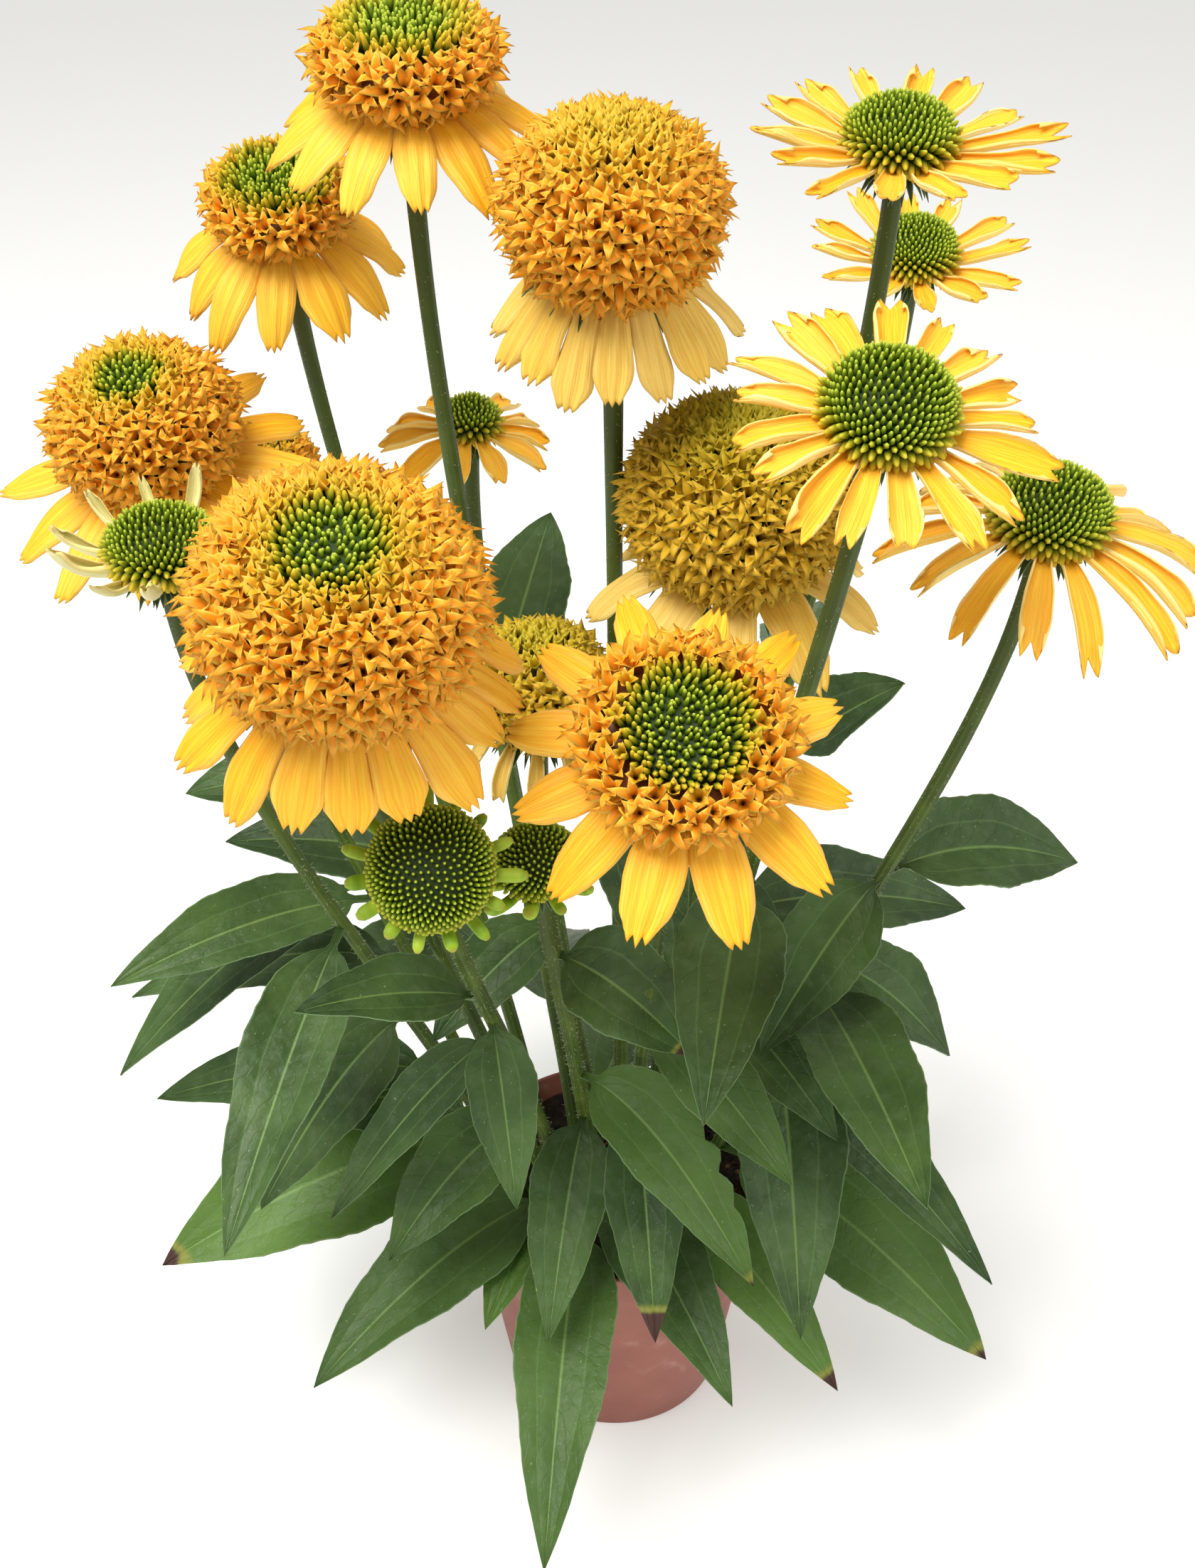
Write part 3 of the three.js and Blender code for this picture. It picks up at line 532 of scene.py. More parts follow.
def add_tube(shape, rings, place=None, tint=(0, 0, 0)):
    """A closed skin over rings of points, given as rings by sides by 3, with a fan over each end."""
    place = np.zeros_like(rings) if place is None else place
    count, sides = rings.shape[:2]
    ends = np.stack([rings[0].mean(axis=0), rings[-1].mean(axis=0)])
    points = np.concatenate([rings.reshape(-1, 3), ends])
    last = count * sides
    faces = [
        grid_faces(count, sides, wrap=True),
        fan_faces(np.arange(sides), last, flip=True),
        fan_faces(np.arange(sides) + last - sides, last + 1),
    ]
    place = np.concatenate([place.reshape(-1, 3), place[0, :1], place[-1, :1]])
    shape.add(points, faces, place, tint)


def add_sheet(shape, top, under, place, tint=(0, 0, 0), keep=None, kind=0):
    """A closed thin sheet between two grids of points, over the cells that keep marks."""
    rows, columns = top.shape[:2]
    if keep is None:
        keep = np.ones((rows - 1, columns - 1), bool)
    cells = grid_faces(rows, columns)[keep.ravel()]
    shift = rows * columns
    walls = []
    padded = np.pad(keep, 1)
    for i in range(rows - 1):
        for j in range(columns - 1):
            if not keep[i, j]:
                continue
            a = i * columns + j
            corner = [a, a + 1, a + columns + 1, a + columns]
            beside = [padded[i, j + 1], padded[i + 1, j + 2], padded[i + 2, j + 1], padded[i + 1, j]]
            for k in range(4):
                if not beside[k]:
                    p, q = corner[k], corner[(k + 1) % 4]
                    walls.append([q, p, p + shift, q + shift])
    faces = np.concatenate([cells, cells[:, ::-1] + shift, np.array(walls)])
    used, faces = np.unique(faces, return_inverse=True)
    points = np.concatenate([top.reshape(-1, 3), under.reshape(-1, 3)])[used]
    places = place.reshape(-1, 3)
    below = places * [1, 1, 0] + [0, 0, 1]
    places = np.concatenate([places, below])[used]
    shape.add(points, [faces.reshape(-1, 4)], places, tint, kind)


def mirrored(columns):
    right = np.array(columns, float)
    return np.concatenate([-right[:0:-1], right])


def sections(columns, curls, power):
    """Across and lift of a sheet whose edges curl up by an angle in each row, as shares of its half."""
    angle = curls[:, None] * np.sign(columns) * np.abs(columns) ** power
    middle = (angle[:, 1:] + angle[:, :-1]) / 2
    step = np.diff(columns)
    start = np.zeros((len(curls), 1))
    across = np.concatenate([start, np.cumsum(np.cos(middle) * step, axis=1)], axis=1)
    lift = np.concatenate([start, np.cumsum(np.sin(middle) * step, axis=1)], axis=1)
    centre = len(columns) // 2
    across = across - across[:, centre : centre + 1]
    lift = lift - lift[:, centre : centre + 1]
    size = across.max(axis=1, keepdims=True)
    return across / size, lift / size


# Materials


def colour(red, green, blue):
    """A linear colour from sRGB numbers between 0 and 255."""
    channels = np.array([red, green, blue]) / 255
    linear = np.where(channels <= 0.04045, channels / 12.92, ((channels + 0.055) / 1.055) ** 2.4)
    return (*linear.tolist(), 1.0)


class Paint:
    """Builds the nodes of one material, one value at a time. Colours go by their names."""

    def __init__(self, name, colours, roughness):
        self.colours = colours
        self.material = bpy.data.materials.new(name)
        self.material.use_nodes = True
        self.tree = self.material.node_tree
        self.shader = self.tree.nodes["Principled BSDF"]
        self.shader.inputs["Roughness"].default_value = roughness
        self.shader.inputs["Specular IOR Level"].default_value = 0.3

    def feed(self, socket, value):
        if isinstance(value, bpy.types.NodeSocket):
            self.tree.links.new(value, socket)
        elif isinstance(value, str):
            socket.default_value = colour(*self.colours[value])
        else:
            socket.default_value = value

    def parts(self, attribute):
        """The three shares of a point's attribute."""
        reader = self.tree.nodes.new("ShaderNodeAttribute")
        reader.attribute_name = attribute
        split = self.tree.nodes.new("ShaderNodeSeparateXYZ")
        self.tree.links.new(reader.outputs["Vector"], split.inputs[0])
        return split.outputs[0], split.outputs[1], split.outputs[2]

    def maths(self, operation, first, second=0.0):
        node = self.tree.nodes.new("ShaderNodeMath")
        node.operation = operation
        self.feed(node.inputs[0], first)
        self.feed(node.inputs[1], second)
        return node.outputs[0]

    def band(self, value, low, high):
        """Rises smoothly from 0 to 1 while the value goes from low to high."""
        node = self.tree.nodes.new("ShaderNodeMapRange")
        node.interpolation_type = "SMOOTHSTEP"
        self.feed(node.inputs["Value"], value)
        node.inputs["From Min"].default_value = low
        node.inputs["From Max"].default_value = high
        return node.outputs["Result"]

    def line(self, value, middle, width):
        """1 on a line where the value is middle, and 0 at width to either side."""
        away = self.maths("ABSOLUTE", self.maths("SUBTRACT", value, middle))
        return self.maths("SUBTRACT", 1.0, self.band(away, 0.0, width))

    def noise(self, scale, detail=3.0, at=None):
        node = self.tree.nodes.new("ShaderNodeTexNoise")
        if at is None:
            at = self.tree.nodes.new("ShaderNodeTexCoord").outputs["Object"]
        self.feed(node.inputs["Vector"], at)
        node.inputs["Scale"].default_value = scale
        node.inputs["Detail"].default_value = detail
        return node.outputs["Fac"]

    def point(self, x, y, z=0.0):
        node = self.tree.nodes.new("ShaderNodeCombineXYZ")
        for socket, value in zip(node.inputs, (x, y, z)):
            self.feed(socket, value)
        return node.outputs[0]

    def mix(self, share, first, second):
        node = self.tree.nodes.new("ShaderNodeMix")
        node.data_type = "RGBA"
        self.feed(node.inputs["Factor"], share)
        self.feed(node.inputs[6], first)
        self.feed(node.inputs[7], second)
        return node.outputs[2]

    def times(self, first, second):
        return self.maths("MULTIPLY", first, second)

    def over(self, base, share, amount, tint):
        """Lays an amount of a tint over the base colour, where the share says."""
        return self.mix(self.times(share, amount), base, tint)

    def finish(self, base, relief=None, depth=0.0):
        self.feed(self.shader.inputs["Base Color"], base)
        if relief is not None:
            bump = self.tree.nodes.new("ShaderNodeBump")
            bump.inputs["Distance"].default_value = depth * MM
            self.feed(bump.inputs["Height"], relief)
            self.tree.links.new(bump.outputs[0], self.shader.inputs["Normal"])
        return self.material


def pot_material():
    paint = Paint("pot_plastic", POT_COLOURS, 0.5)
    clouds = paint.band(paint.noise(22), 0.35, 0.7)
    base = paint.mix(clouds, "dark", "light")
    dust = paint.band(paint.noise(90, 6), 0.58, 0.75)
    base = paint.over(base, dust, 0.4, "dust")
    band = paint.band(paint.parts("place")[2], 0.5, 0.6)
    base = paint.over(base, band, 0.45, "band")
    grain = paint.noise(260, 2)
    return paint.finish(base, grain, 0.15)


def soil_material():
    paint = Paint("compost", SOIL_COLOURS, 0.95)
    bark = paint.parts("tint")[0]
    clods = paint.band(paint.noise(160, 4), 0.4, 0.7)
    base = paint.mix(clods, "dark", "light")
    base = paint.mix(bark, base, "bark")
    grain = paint.noise(600, 4)
    return paint.finish(base, grain, 0.5)


def stem_material():
    paint = Paint("stem_skin", STEM_COLOURS, 0.55)
    round_about, along, bract = paint.parts("place")
    clouds = paint.band(paint.noise(60), 0.35, 0.7)
    base = paint.mix(clouds, "dark", "light")
    ribs = paint.maths("SINE", paint.times(round_about, TURN * STEM["ribs"]))
    base = paint.over(base, paint.band(ribs, 0.2, 1.0), 0.35, "ribs")
    base = paint.mix(paint.band(along, 0.5, 1.0), base, "top")
    base = paint.mix(bract, base, "bract")
    edge = paint.times(paint.band(paint.maths("ABSOLUTE", round_about), 0.6, 1.0), bract)
    base = paint.over(base, edge, 0.6, "bract_edge")
    grain = paint.noise(500, 2)
    return paint.finish(base, grain, 0.2)


def hair_material():
    return Paint("hairs", STEM_COLOURS, 0.6).finish("hair")


def leaf_material():
    paint = Paint("leaf", LEAF_COLOURS, 0.48)
    across, along, under = paint.parts("place")
    light, yellow, brown = paint.parts("tint")
    wide = paint.maths("ABSOLUTE", across)
    clouds = paint.band(paint.noise(30), 0.35, 0.68)
    base = paint.mix(clouds, "dark", "light")
    base = paint.mix(light, base, "fresh")
    mottle = paint.band(paint.noise(190, 5), 0.45, 0.75)
    base = paint.over(base, mottle, 0.3, "mottle")
    specks = paint.band(paint.noise(900, 2), 0.7, 0.76)
    base = paint.over(base, specks, 0.4, "specks")
    veinlet = leaf_veinlets(paint, along, wide)
    base = paint.over(base, veinlet, 0.05, "veinlet")
    base = paint.over(base, paint.line(wide, LEAF_VEIN, 0.035), 0.25, "side_vein")
    base = paint.over(base, paint.line(across, 0.0, 0.05), 0.6, "midrib")
    base = paint.over(base, paint.band(wide, 0.965, 1.0), 0.55, "edge")
    base = paint.over(base, under, 0.55, "under")
    base = leaf_age(paint, base, along, wide, yellow, brown)
    relief = paint.maths("ADD", paint.noise(240, 3), paint.times(veinlet, -0.15))
    return paint.finish(base, relief, 0.6)


def leaf_veinlets(paint, along, wide):
    """Fine slanting lines from the midrib, which wander a little."""
    wander = paint.times(paint.noise(120, 2), 1.6)
    slant = paint.maths("SUBTRACT", paint.times(along, 11.0), paint.times(wide, 2.2))
    slant = paint.maths("ADD", slant, wander)
    return paint.line(paint.maths("FRACT", slant), 0.5, 0.1)


def leaf_age(paint, base, along, wide, yellow, brown):
    """Yellow patches, and a tip that wilts and withers."""
    patch = paint.maths("ADD", paint.noise(55, 4), paint.times(wide, 0.25))
    base = paint.over(base, paint.band(patch, 0.4, 0.62), yellow, "yellow")
    wither = paint.maths("ADD", along, paint.times(paint.noise(140, 3), 0.04))
    wither = paint.maths("ADD", wither, brown)
    base = paint.mix(paint.band(wither, 1.0, 1.02), base, "wilting")
    return paint.mix(paint.band(wither, 1.02, 1.035), base, "withered")


def ray_material(tone):
    paint = Paint(f"ray_{tone}", {**RAY_COLOURS[tone], **RAY_ENDS}, 0.5)
    across, along, under = paint.parts("place")
    share, rolled, _ = paint.parts("tint")
    wide = paint.maths("ABSOLUTE", across)
    streak = paint.noise(1.6, 3, paint.point(paint.times(across, 9.0), paint.times(along, 1.6), share))
    base = paint.mix(paint.band(streak, 0.35, 0.7), "deep", "main")
    base = paint.over(base, paint.band(share, 0.0, 1.0), 0.25, "edge")
    groove = paint.maths("ADD", paint.line(wide, 0.34, 0.07), paint.line(wide, 0.68, 0.07))
    base = paint.over(base, groove, 0.55, "deep")
    base = paint.over(base, under, 0.7, "back")
    rim = paint.times(paint.band(wide, 0.66, 0.88), rolled)
    base = paint.mix(rim, base, "rim")
    base = paint.over(base, paint.band(along, 0.985, 1.0), 0.3, "tip")
    return paint.finish(base, streak, 0.4)


def floret_material(tone):
    paint = Paint(f"floret_{tone}", {**FLORET_COLOURS[tone], **FLORET_AGES}, 0.5)
    edge, along, _ = paint.parts("place")
    share, low, young = paint.parts("tint")
    # Painted shade: the tube, the lower half of each lobe and the plain dome under the florets take the
    # darker throat colour.
    base = paint.mix(paint.band(along, 0.05, 0.6), "shaded_throat", "lobe")
    base = paint.over(base, share, 0.2, "edge")
    base = paint.over(base, paint.band(edge, 0.4, 0.95), 0.9, "edge")
    base = paint.over(base, young, 0.8, "young")
    base = paint.over(base, low, 0.2, "low")
    return paint.finish(base)


def spike_material():
    paint = Paint("green_spikes", SPIKE_COLOURS, 0.6)
    along = paint.parts("place")[2]
    share, ripe, _ = paint.parts("tint")
    # Painted shade: dark green at the foot of each spike and on the plain dome beneath, which reads as a
    # spike's root.
    base = paint.mix(paint.band(along, 0.2, 0.85), "root", "side")
    base = paint.over(base, share, 0.3, "other")
    base = paint.mix(paint.band(along, 0.75, 1.0), base, "tip")
    ripe_tip = paint.times(ripe, paint.band(along, 0.35, 0.95))
    base = paint.mix(ripe_tip, base, "ripe")
    return paint.finish(base)


def floor_material():
    paint = Paint("floor_paper", FLOOR_COLOURS, 0.9)
    paint.feed(paint.shader.inputs["Emission Color"], "glow")
    paint.feed(paint.shader.inputs["Emission Strength"], FLOOR["glow"])
    return paint.finish("paper")


# The pot and its filling


def pot_profile():
    """The pot's outline as radius and height, with rounded edges."""
    height, rim, base, wall, floor = POT["height"], POT["rim"], POT["base"], POT["wall"], POT["floor"]
    body = rim - POT["step"]
    foot = height - POT["band"]
    under = [(0, 0.6), (base - 6, 0.6), (base - 4, 0), (base - 1.2, 0)]
    outer = [(base - 0.3, 0.4), (base + 0.1, 1.4)]
    sides = [(base + (body - base) * share, foot * share) for share in (0.25, 0.5, 0.75, 0.98)]
    band = [(body, foot - 0.4), (rim - 1.6, foot - 0.2), (rim - 1.1, foot), (rim - 0.9, foot + 0.8)]
    lip = [(rim - 0.1, height - 1.2), (rim, height - 0.5), (rim - 0.4, height), (rim - wall + 0.4, height)]
    inner = [(rim - wall, height - 0.5), (body - wall + 0.2, foot + 0.5), (body - wall, foot)]
    bottom = [(base - wall + 0.2, floor + 1.5), (base - wall - 1, floor), (0, floor)]
    return under + outer + sides + band + lip + inner + bottom


def add_pot(material):
    profile = pot_profile()
    sides = POT["sides"]
    shape = Shape()
    rings = lathe(profile[1:-1], sides)
    band_foot = POT["height"] - POT["band"]
    place = np.zeros_like(rings)
    place[..., 2] = np.where(rings[..., 2] > band_foot - 0.5, 1.0, 0.0)
    count = len(rings)
    points = np.concatenate([rings.reshape(-1, 3), [(0, 0, profile[0][1]), (0, 0, profile[-1][1])]])
    faces = [
        grid_faces(count, sides, wrap=True),
        fan_faces(np.arange(sides), count * sides, flip=True),
        fan_faces(np.arange(sides) + (count - 1) * sides, count * sides + 1),
    ]
    places = np.concatenate([place.reshape(-1, 3), np.zeros((2, 3))])
    shape.add(points, faces, places)
    piece = add_piece("nursery_pot", shape, [material], ["pot"])
    cutter = drain_cutter()
    cut = piece.modifiers.new("drains", "BOOLEAN")
    cut.object = cutter
    cut.operation = "DIFFERENCE"
    graph = bpy.context.evaluated_depsgraph_get()
    drilled = bpy.data.meshes.new_from_object(piece.evaluated_get(graph))
    piece.modifiers.clear()
    piece.data = drilled
    drilled.set_sharp_from_angle(angle=math.radians(50))
    bpy.data.objects.remove(cutter)


def drain_cutter():
    """Upright rods where the drain holes go through the pot's floor."""
    shape = Shape()
    ring = around(circle(DRAIN["sides"])) * DRAIN["radius"]
    for k in range(DRAIN["count"]):
        turn = (k + 0.5) / DRAIN["count"] * TURN
        middle = np.array([DRAIN["ring"] * math.cos(turn), DRAIN["ring"] * math.sin(turn), 0])
        add_tube(shape, np.stack([middle + ring + UP * z for z in (-POT["floor"], 2 * POT["floor"])]))
    cutter = bpy.data.objects.new("drain_cutter", shape.mesh("drain_cutter"))
    bpy.context.scene.collection.objects.link(cutter)
    return cutter


def pot_inside(z):
    """The inner radius of the pot's wall at a height."""
    foot = POT["height"] - POT["band"]
    body = POT["rim"] - POT["step"] - POT["wall"]
    radii = [POT["base"] - POT["wall"], body, POT["rim"] - POT["wall"]]
    return float(np.interp(z, [POT["floor"], foot, POT["height"]], radii))


def soil_height(x, y):
    """The uneven surface of the compost, from a few waves of different lengths."""
    waves = 1.1 * np.sin(x * 0.11 + 1) * np.cos(y * 0.13)
    waves = waves + 0.5 * np.sin(x * 0.41 + y * 0.37) + 0.35 * np.sin(x * 0.9 - y * 1.1 + 2)
    return SOIL_TOP + 0.8 * waves


def add_soil(material):
    shape = Shape()
    rings, sides = SOIL_GRID["rings"], SOIL_GRID["sides"]
    edge = pot_inside(SOIL_TOP) - SOIL_CLEARANCE
    angles = circle(sides)
    radii = np.linspace(1.0, edge, rings)
    x = radii[:, None] * np.cos(angles)
    y = radii[:, None] * np.sin(angles)
    index = np.arange(rings * sides).reshape(rings, sides)
    z = soil_height(x, y) + spread(index, 3, SOIL_GRID["rough"])
    top = xyz(x, y, z)
    skirt = top[-1:] * [1, 1, 0] * (pot_inside(SOIL_BOTTOM) - SOIL_CLEARANCE) / edge + UP * SOIL_BOTTOM
    add_tube(shape, np.concatenate([skirt, top[::-1]]))
    add_crumbs(shape, edge - CRUMBS["margin"])
    add_piece("compost", shape, [material], ["soil"], smooth=False)


def add_crumbs(shape, reach):
    """Lumps of compost and bark, half sunk in the surface."""
    count = CRUMBS["count"]
    k = np.arange(count)
    radius = reach * np.sqrt(draw(k, 21))
    angle = TURN * draw(k, 22)
    x, y = radius * np.cos(angle), radius * np.sin(angle)
    size = CRUMBS["least"] + CRUMBS["more"] * draw(k, 23) ** 3
    corners = np.array([(1, 0, 0), (0, 1, 0), (-1, 0, 0), (0, -1, 0), (0, 0, 1), (0, 0, -1)], float)
    faces = [[(0, 1, 4), (1, 2, 4), (2, 3, 4), (3, 0, 4), (1, 0, 5), (2, 1, 5), (3, 2, 5), (0, 3, 5)]]
    stretch = xyz(1 + draw(k, 24), 0.6 + 0.5 * draw(k, 25), 0.5 + 0.3 * draw(k, 26))
    tilt = UP + jitter(k, 27, 0.5)
    frames = frames_along(tilt, TURN * draw(k, 29))
    points = (corners[None] * (size[:, None] * stretch)[:, None]) @ frames
    points = points + xyz(x, y, soil_height(x, y))[:, None]
    tone = np.where(draw(k, 30) > 1 - CRUMBS["pale_share"], 0.8, 0.15 * draw(k, 31))
    tint = xyz(tone, 0, 0)[:, None]
    shape.add_copies(points, faces, tint=tint)


# Frames and curves of the plant


def head_frame(head):
    """A head's own frame: it starts where the rays are set, and its Z axis is the head's axis."""
    lean, toward = math.radians(head["lean"]), math.radians(head["toward"])
    side = math.sin(lean)
    axis = np.array([side * math.cos(toward), side * math.sin(toward), math.cos(lean)])
    base = np.array(head["at"], float) - axis * head["dome"][3]
    return dict(axis=axis, base=base, turn=turn_from_up(axis))


def cup_size(head):
    """The cup's top radius, its height, and how far its top lies below the head's origin."""
    radius = head["dome"][0]
    top = 2 * GAP + RAY["hub"] if "rays" in head else GAP
    return CUP["top"] * radius, CUP["share"] * radius + CUP["height"], top


def stem_points(head):
    """The four control points of a stem's curve."""
    frame = head_frame(head)
    _, height, drop = cup_size(head)
    foot = np.array([*head["root"], SOIL_TOP - STEM_DEPTH], float)
    top = frame["base"] - frame["axis"] * (drop + height)
    span = np.linalg.norm(top - foot)
    rise = unit(unit(top - foot) + UP * STEM["rise"])
    low = foot + rise * STEM["low_reach"] * span
    high = top - frame["axis"] * STEM["top_reach"] * span
    return foot, low, high, top


def stem_at(points, share):
    """Places and directions along a stem's curve."""
    foot, low, high, top = points
    t = np.asarray(share, float)[..., None]
    s = 1 - t
    place = s**3 * foot + 3 * s**2 * t * low + 3 * s * t**2 * high + t**3 * top
    along = 3 * s**2 * (low - foot) + 6 * s * t * (high - low) + 3 * t**2 * (top - high)
    return place, unit(along)


def share_at_height(points, height):
    shares = np.linspace(0, 1, 2001)
    heights = stem_at(points, shares)[0][:, 2]
    return float(np.interp(height, heights, shares))


# Stems, bracts and hairs


def stem_frames(along):
    """Square frames carried along a curve without turning about it."""
    across = EAST
    firsts = []
    for direction in along:
        across = unit(across - direction * np.dot(across, direction))
        firsts.append(across)
    firsts = np.array(firsts)
    return firsts, np.cross(along, firsts)


def add_stem(shape, head, seed):
    points = stem_points(head)
    shares = np.linspace(0, 1, STEM["steps"] + 1)
    middle, along = stem_at(points, shares)
    first, second = stem_frames(along)
    angle = circle(STEM["sides"])
    swell = 1 + 0.18 * shares**6 + 0.05 * np.sin(shares * 17 + seed)
    radius = STEM["radius"] * swell[:, None] * (1 + STEM["rib"] * np.cos(STEM["ribs"] * angle))
    out = first[:, None] * np.cos(angle)[None, :, None] + second[:, None] * np.sin(angle)[None, :, None]
    rings = middle[:, None] + out * radius[..., None]
    add_tube(shape, rings, xyz(angle / TURN, shares[:, None], 0))
    add_hairs(shape, points, seed)


def add_hairs(shape, points, seed):
    """Fine pale hairs that stand off the stem above the soil."""
    count = HAIRS["count"]
    k = np.arange(count)
    shares = 0.1 + 0.9 * draw(k, seed + 40)
    middle, along = stem_at(points, shares)
    angle = TURN * draw(k, seed + 41)
    frames = frames_along(along, angle)
    out = frames[:, 0]
    lengthwise = along * spread(k, seed + 42, 0.5)[:, None]
    lean = unit(out + lengthwise + frames[:, 1] * spread(k, seed + 43, 0.4)[:, None])
    length = HAIRS["length"] * (0.6 + 0.7 * draw(k, seed + 44))
    root = middle + out * STEM["radius"] * 0.95
    width = HAIRS["radius"]
    cross = np.cross(lean, along)
    back = root - cross * width * 0.5
    feet = [root + cross * width, back + along * width, back - along * width]
    tip = root + lean * length[:, None]
    corners = np.stack([*feet, tip], axis=1)
    shape.add_copies(corners, [[(0, 1, 3), (1, 2, 3), (2, 0, 3), (2, 1, 0)]], kind=HAIR_KIND)


def add_cup(shape, head, seed):
    """The green cup that carries a head, with three rows of pointed bracts."""
    radius, height, drop = cup_size(head)
    bottom = -drop - height
    outline = [
        (STEM["radius"] * 1.15, -1), (radius * 0.42, height * 0.1), (radius * 0.66, height * 0.32),
        (radius * 0.9, height * 0.68), (radius, height), (radius * 0.5, height),
    ]
    rings = lathe([(r, bottom + z) for r, z in outline], CUP["sides"])
    add_tube(shape, rings, np.broadcast_to(UP, rings.shape))
    for row, form in enumerate(BRACT_ROWS):
        for k in range(BRACT["count"]):
            turn = (k + 0.5 * row + spread(k, seed + row, 0.15)) / BRACT["count"] * TURN
            add_bract(shape, form, turn, radius, height, bottom, seed + 10 * row + k)


def add_bract(shape, form, turn, radius, height, bottom, seed):
    """A narrow pointed bract that leaves the cup and bends back and down."""
    share = np.linspace(0, 1, BRACT["rows"])
    (foot_out, foot_up), (tip_out, tip_up) = form["foot"], form["tip"]
    reach = (tip_out - foot_out) * (1 + spread(seed, 5, 0.14))
    out = radius * (foot_out + reach * share)
    sag = 0.45 * height * np.sin(math.pi * share)
    rise = bottom + height * (foot_up + (tip_up - foot_up) * share**1.6) + 0.35 * sag
    rise = rise - 0.12 * height * share**3 * draw(seed, 6) * 3
    half = form["width"] / 2 * (1 - share**2.2) ** 0.9 + 0.05
    columns = mirrored((0, 1))
    across = half[:, None] * columns
    lift = 0.3 * half[:, None] * np.abs(columns)
    direction = np.array([math.cos(turn), math.sin(turn), 0])
    beside = np.array([-direction[1], direction[0], 0])
    up = UP * (rise[:, None] + lift)[..., None]
    top = direction * out[:, None, None] + beside * across[..., None] + up
    place = np.broadcast_to(xyz(columns, 0, 1), top.shape)
    add_sheet(shape, top, top - UP * BRACT["sheet"], place)


# Leaves


def blade_shape(share):
    """The half width of a lanceolate blade, as a share of its greatest, at a share of its length."""
    return 2.81 * share**0.6 * (1 - share) ** 0.95


def leaf_course(base, tip, arch, along):
    """The midrib's places and directions at shares of a leaf's length."""
    over = base + (tip - base) * LEAF["arch_share"] + UP * arch
    t = along[..., None]
    middle = (1 - t) ** 2 * base + 2 * (1 - t) * t * over + t**2 * tip
    return middle, unit(2 * (1 - t) * (over - base) + 2 * t * (tip - over))


def leaf_widths(index, marks, width, across, along, blade):
    """The half width of a leaf: its stalk, then its blade with swinging edges."""
    half = width / 2 * blade_shape(blade)
    stalk = LEAF["stalk_half"] * np.clip(1 - (blade - 0.02) * 6, 0, 1)
    return np.hypot(half, stalk) * edge_form(along, across, index, marks)


def leaf_lift(index, across, along, blade, half):
    """How far a leaf's face stands off its midrib: folded, waved, sunk at the veins and quilted."""
    wide = np.abs(across)
    station = 1 + (along - LEAF["stalk_share"]) / (1 - LEAF["stalk_share"]) * 4
    wave = LEAF["wave"] * np.sin(2.3 * station + 2 * across + index) * wide**2 * (blade > 0)
    lift = half * (LEAF["fold"] * wide ** LEAF["fold_power"] + wave * np.clip(blade * 6, 0, 1))
    for (depth, width), away in ((LEAF_RELIEF["groove"], across), (LEAF_RELIEF["vein"], wide - LEAF_VEIN)):
        lift = lift - depth * bell(away, width)
    quilt = np.sin(along * 44 - wide * 9 + index) * np.sin(wide * math.pi * 2) ** 2
    return lift + LEAF_RELIEF["quilt"] * quilt * np.clip(half / LEAF_RELIEF["quilt_full"], 0, 1)


def add_leaf(shape, index, points):
    name, height, tip, width, arch = LEAVES[index]
    marks = LEAF_MARKS.get((name, height), {})
    base = stem_at(points, share_at_height(points, height))[0]
    tip = np.array(tip, float)
    across, along = np.meshgrid(mirrored(LEAF_COLUMNS), np.linspace(0, 1, LEAF["rows"] + 1))
    keep = None
    if "hole" in marks:
        along, across, keep = with_hole(along, across, marks["hole"])
    middle, heading = leaf_course(base, tip, arch, along)
    reach = unit((tip - base) * [1, 1, 0])
    level = np.broadcast_to(np.cross(reach, UP), heading.shape)
    twist = math.radians(LEAF["front"]) * reach[0] + math.radians(spread(index, 71, 9)) * along
    side = turned(level, heading, twist)
    normal = unit(np.cross(side, heading))
    blade = np.clip((along - LEAF["stalk_share"]) / (1 - LEAF["stalk_share"]), 0, 1)
    half = leaf_widths(index, marks, width, across, along, blade)
    lift = leaf_lift(index, across, along, blade, half)
    top = middle + side * (half * across)[..., None] + normal * lift[..., None]
    rib_depth, rib_width = LEAF_RELIEF["rib"]
    rib = rib_depth * bell(across, rib_width) * (1 - 0.6 * along)
    stout = np.clip(1 - blade * 8, 0, 1) * (1 - np.abs(across)) * LEAF_RELIEF["stout"]
    under = top - normal * (LEAF["sheet"] + rib + stout)[..., None]
    tint = leaf_tint(index, marks, height)
    add_sheet(shape, top, under, xyz(across, along, 0), tint, keep, kind=LEAF_KIND)


def leaf_tint(index, marks, height):
    """How fresh, yellow and browned a leaf is. Low leaves are lighter."""
    light = marks.get("light", 0.12 * draw(index, 72)) + 0.25 * max(0.0, (190 - height) / 120)
    return light, marks.get("yellow", 0), marks.get("brown", -0.2)


def edge_form(along, across, index, marks):
    """How far a leaf's edges swing in and out, with any bites taken out of them."""
    form = 1 + 0.03 * np.sin(along * 23 + index + np.sign(across)) + 0.012 * np.sin(along * 95 + index)
    for middle, depth, side in marks.get("bites", []):
        bite = depth * bell(along - middle, 0.025)
        form = form - bite * (np.sign(across) == side) * np.abs(across) ** 6
    return form


def with_hole(along, across, hole):
    """Grid shares with the points round a hole drawn out to its edge, and the cells that are kept."""
    middle_along, middle_across, half_along, half_across = hole
    away = np.hypot((along - middle_along) / half_along, (across - middle_across) / half_across)
    inside = away < 1
    gone = inside[:-1, :-1] & inside[1:, :-1] & inside[:-1, 1:] & inside[1:, 1:]
    push = np.where(inside, 1 / np.maximum(away, 0.05), 1)
    along = middle_along + (along - middle_along) * push
    across = middle_across + (across - middle_across) * push
    return along, across, ~gone


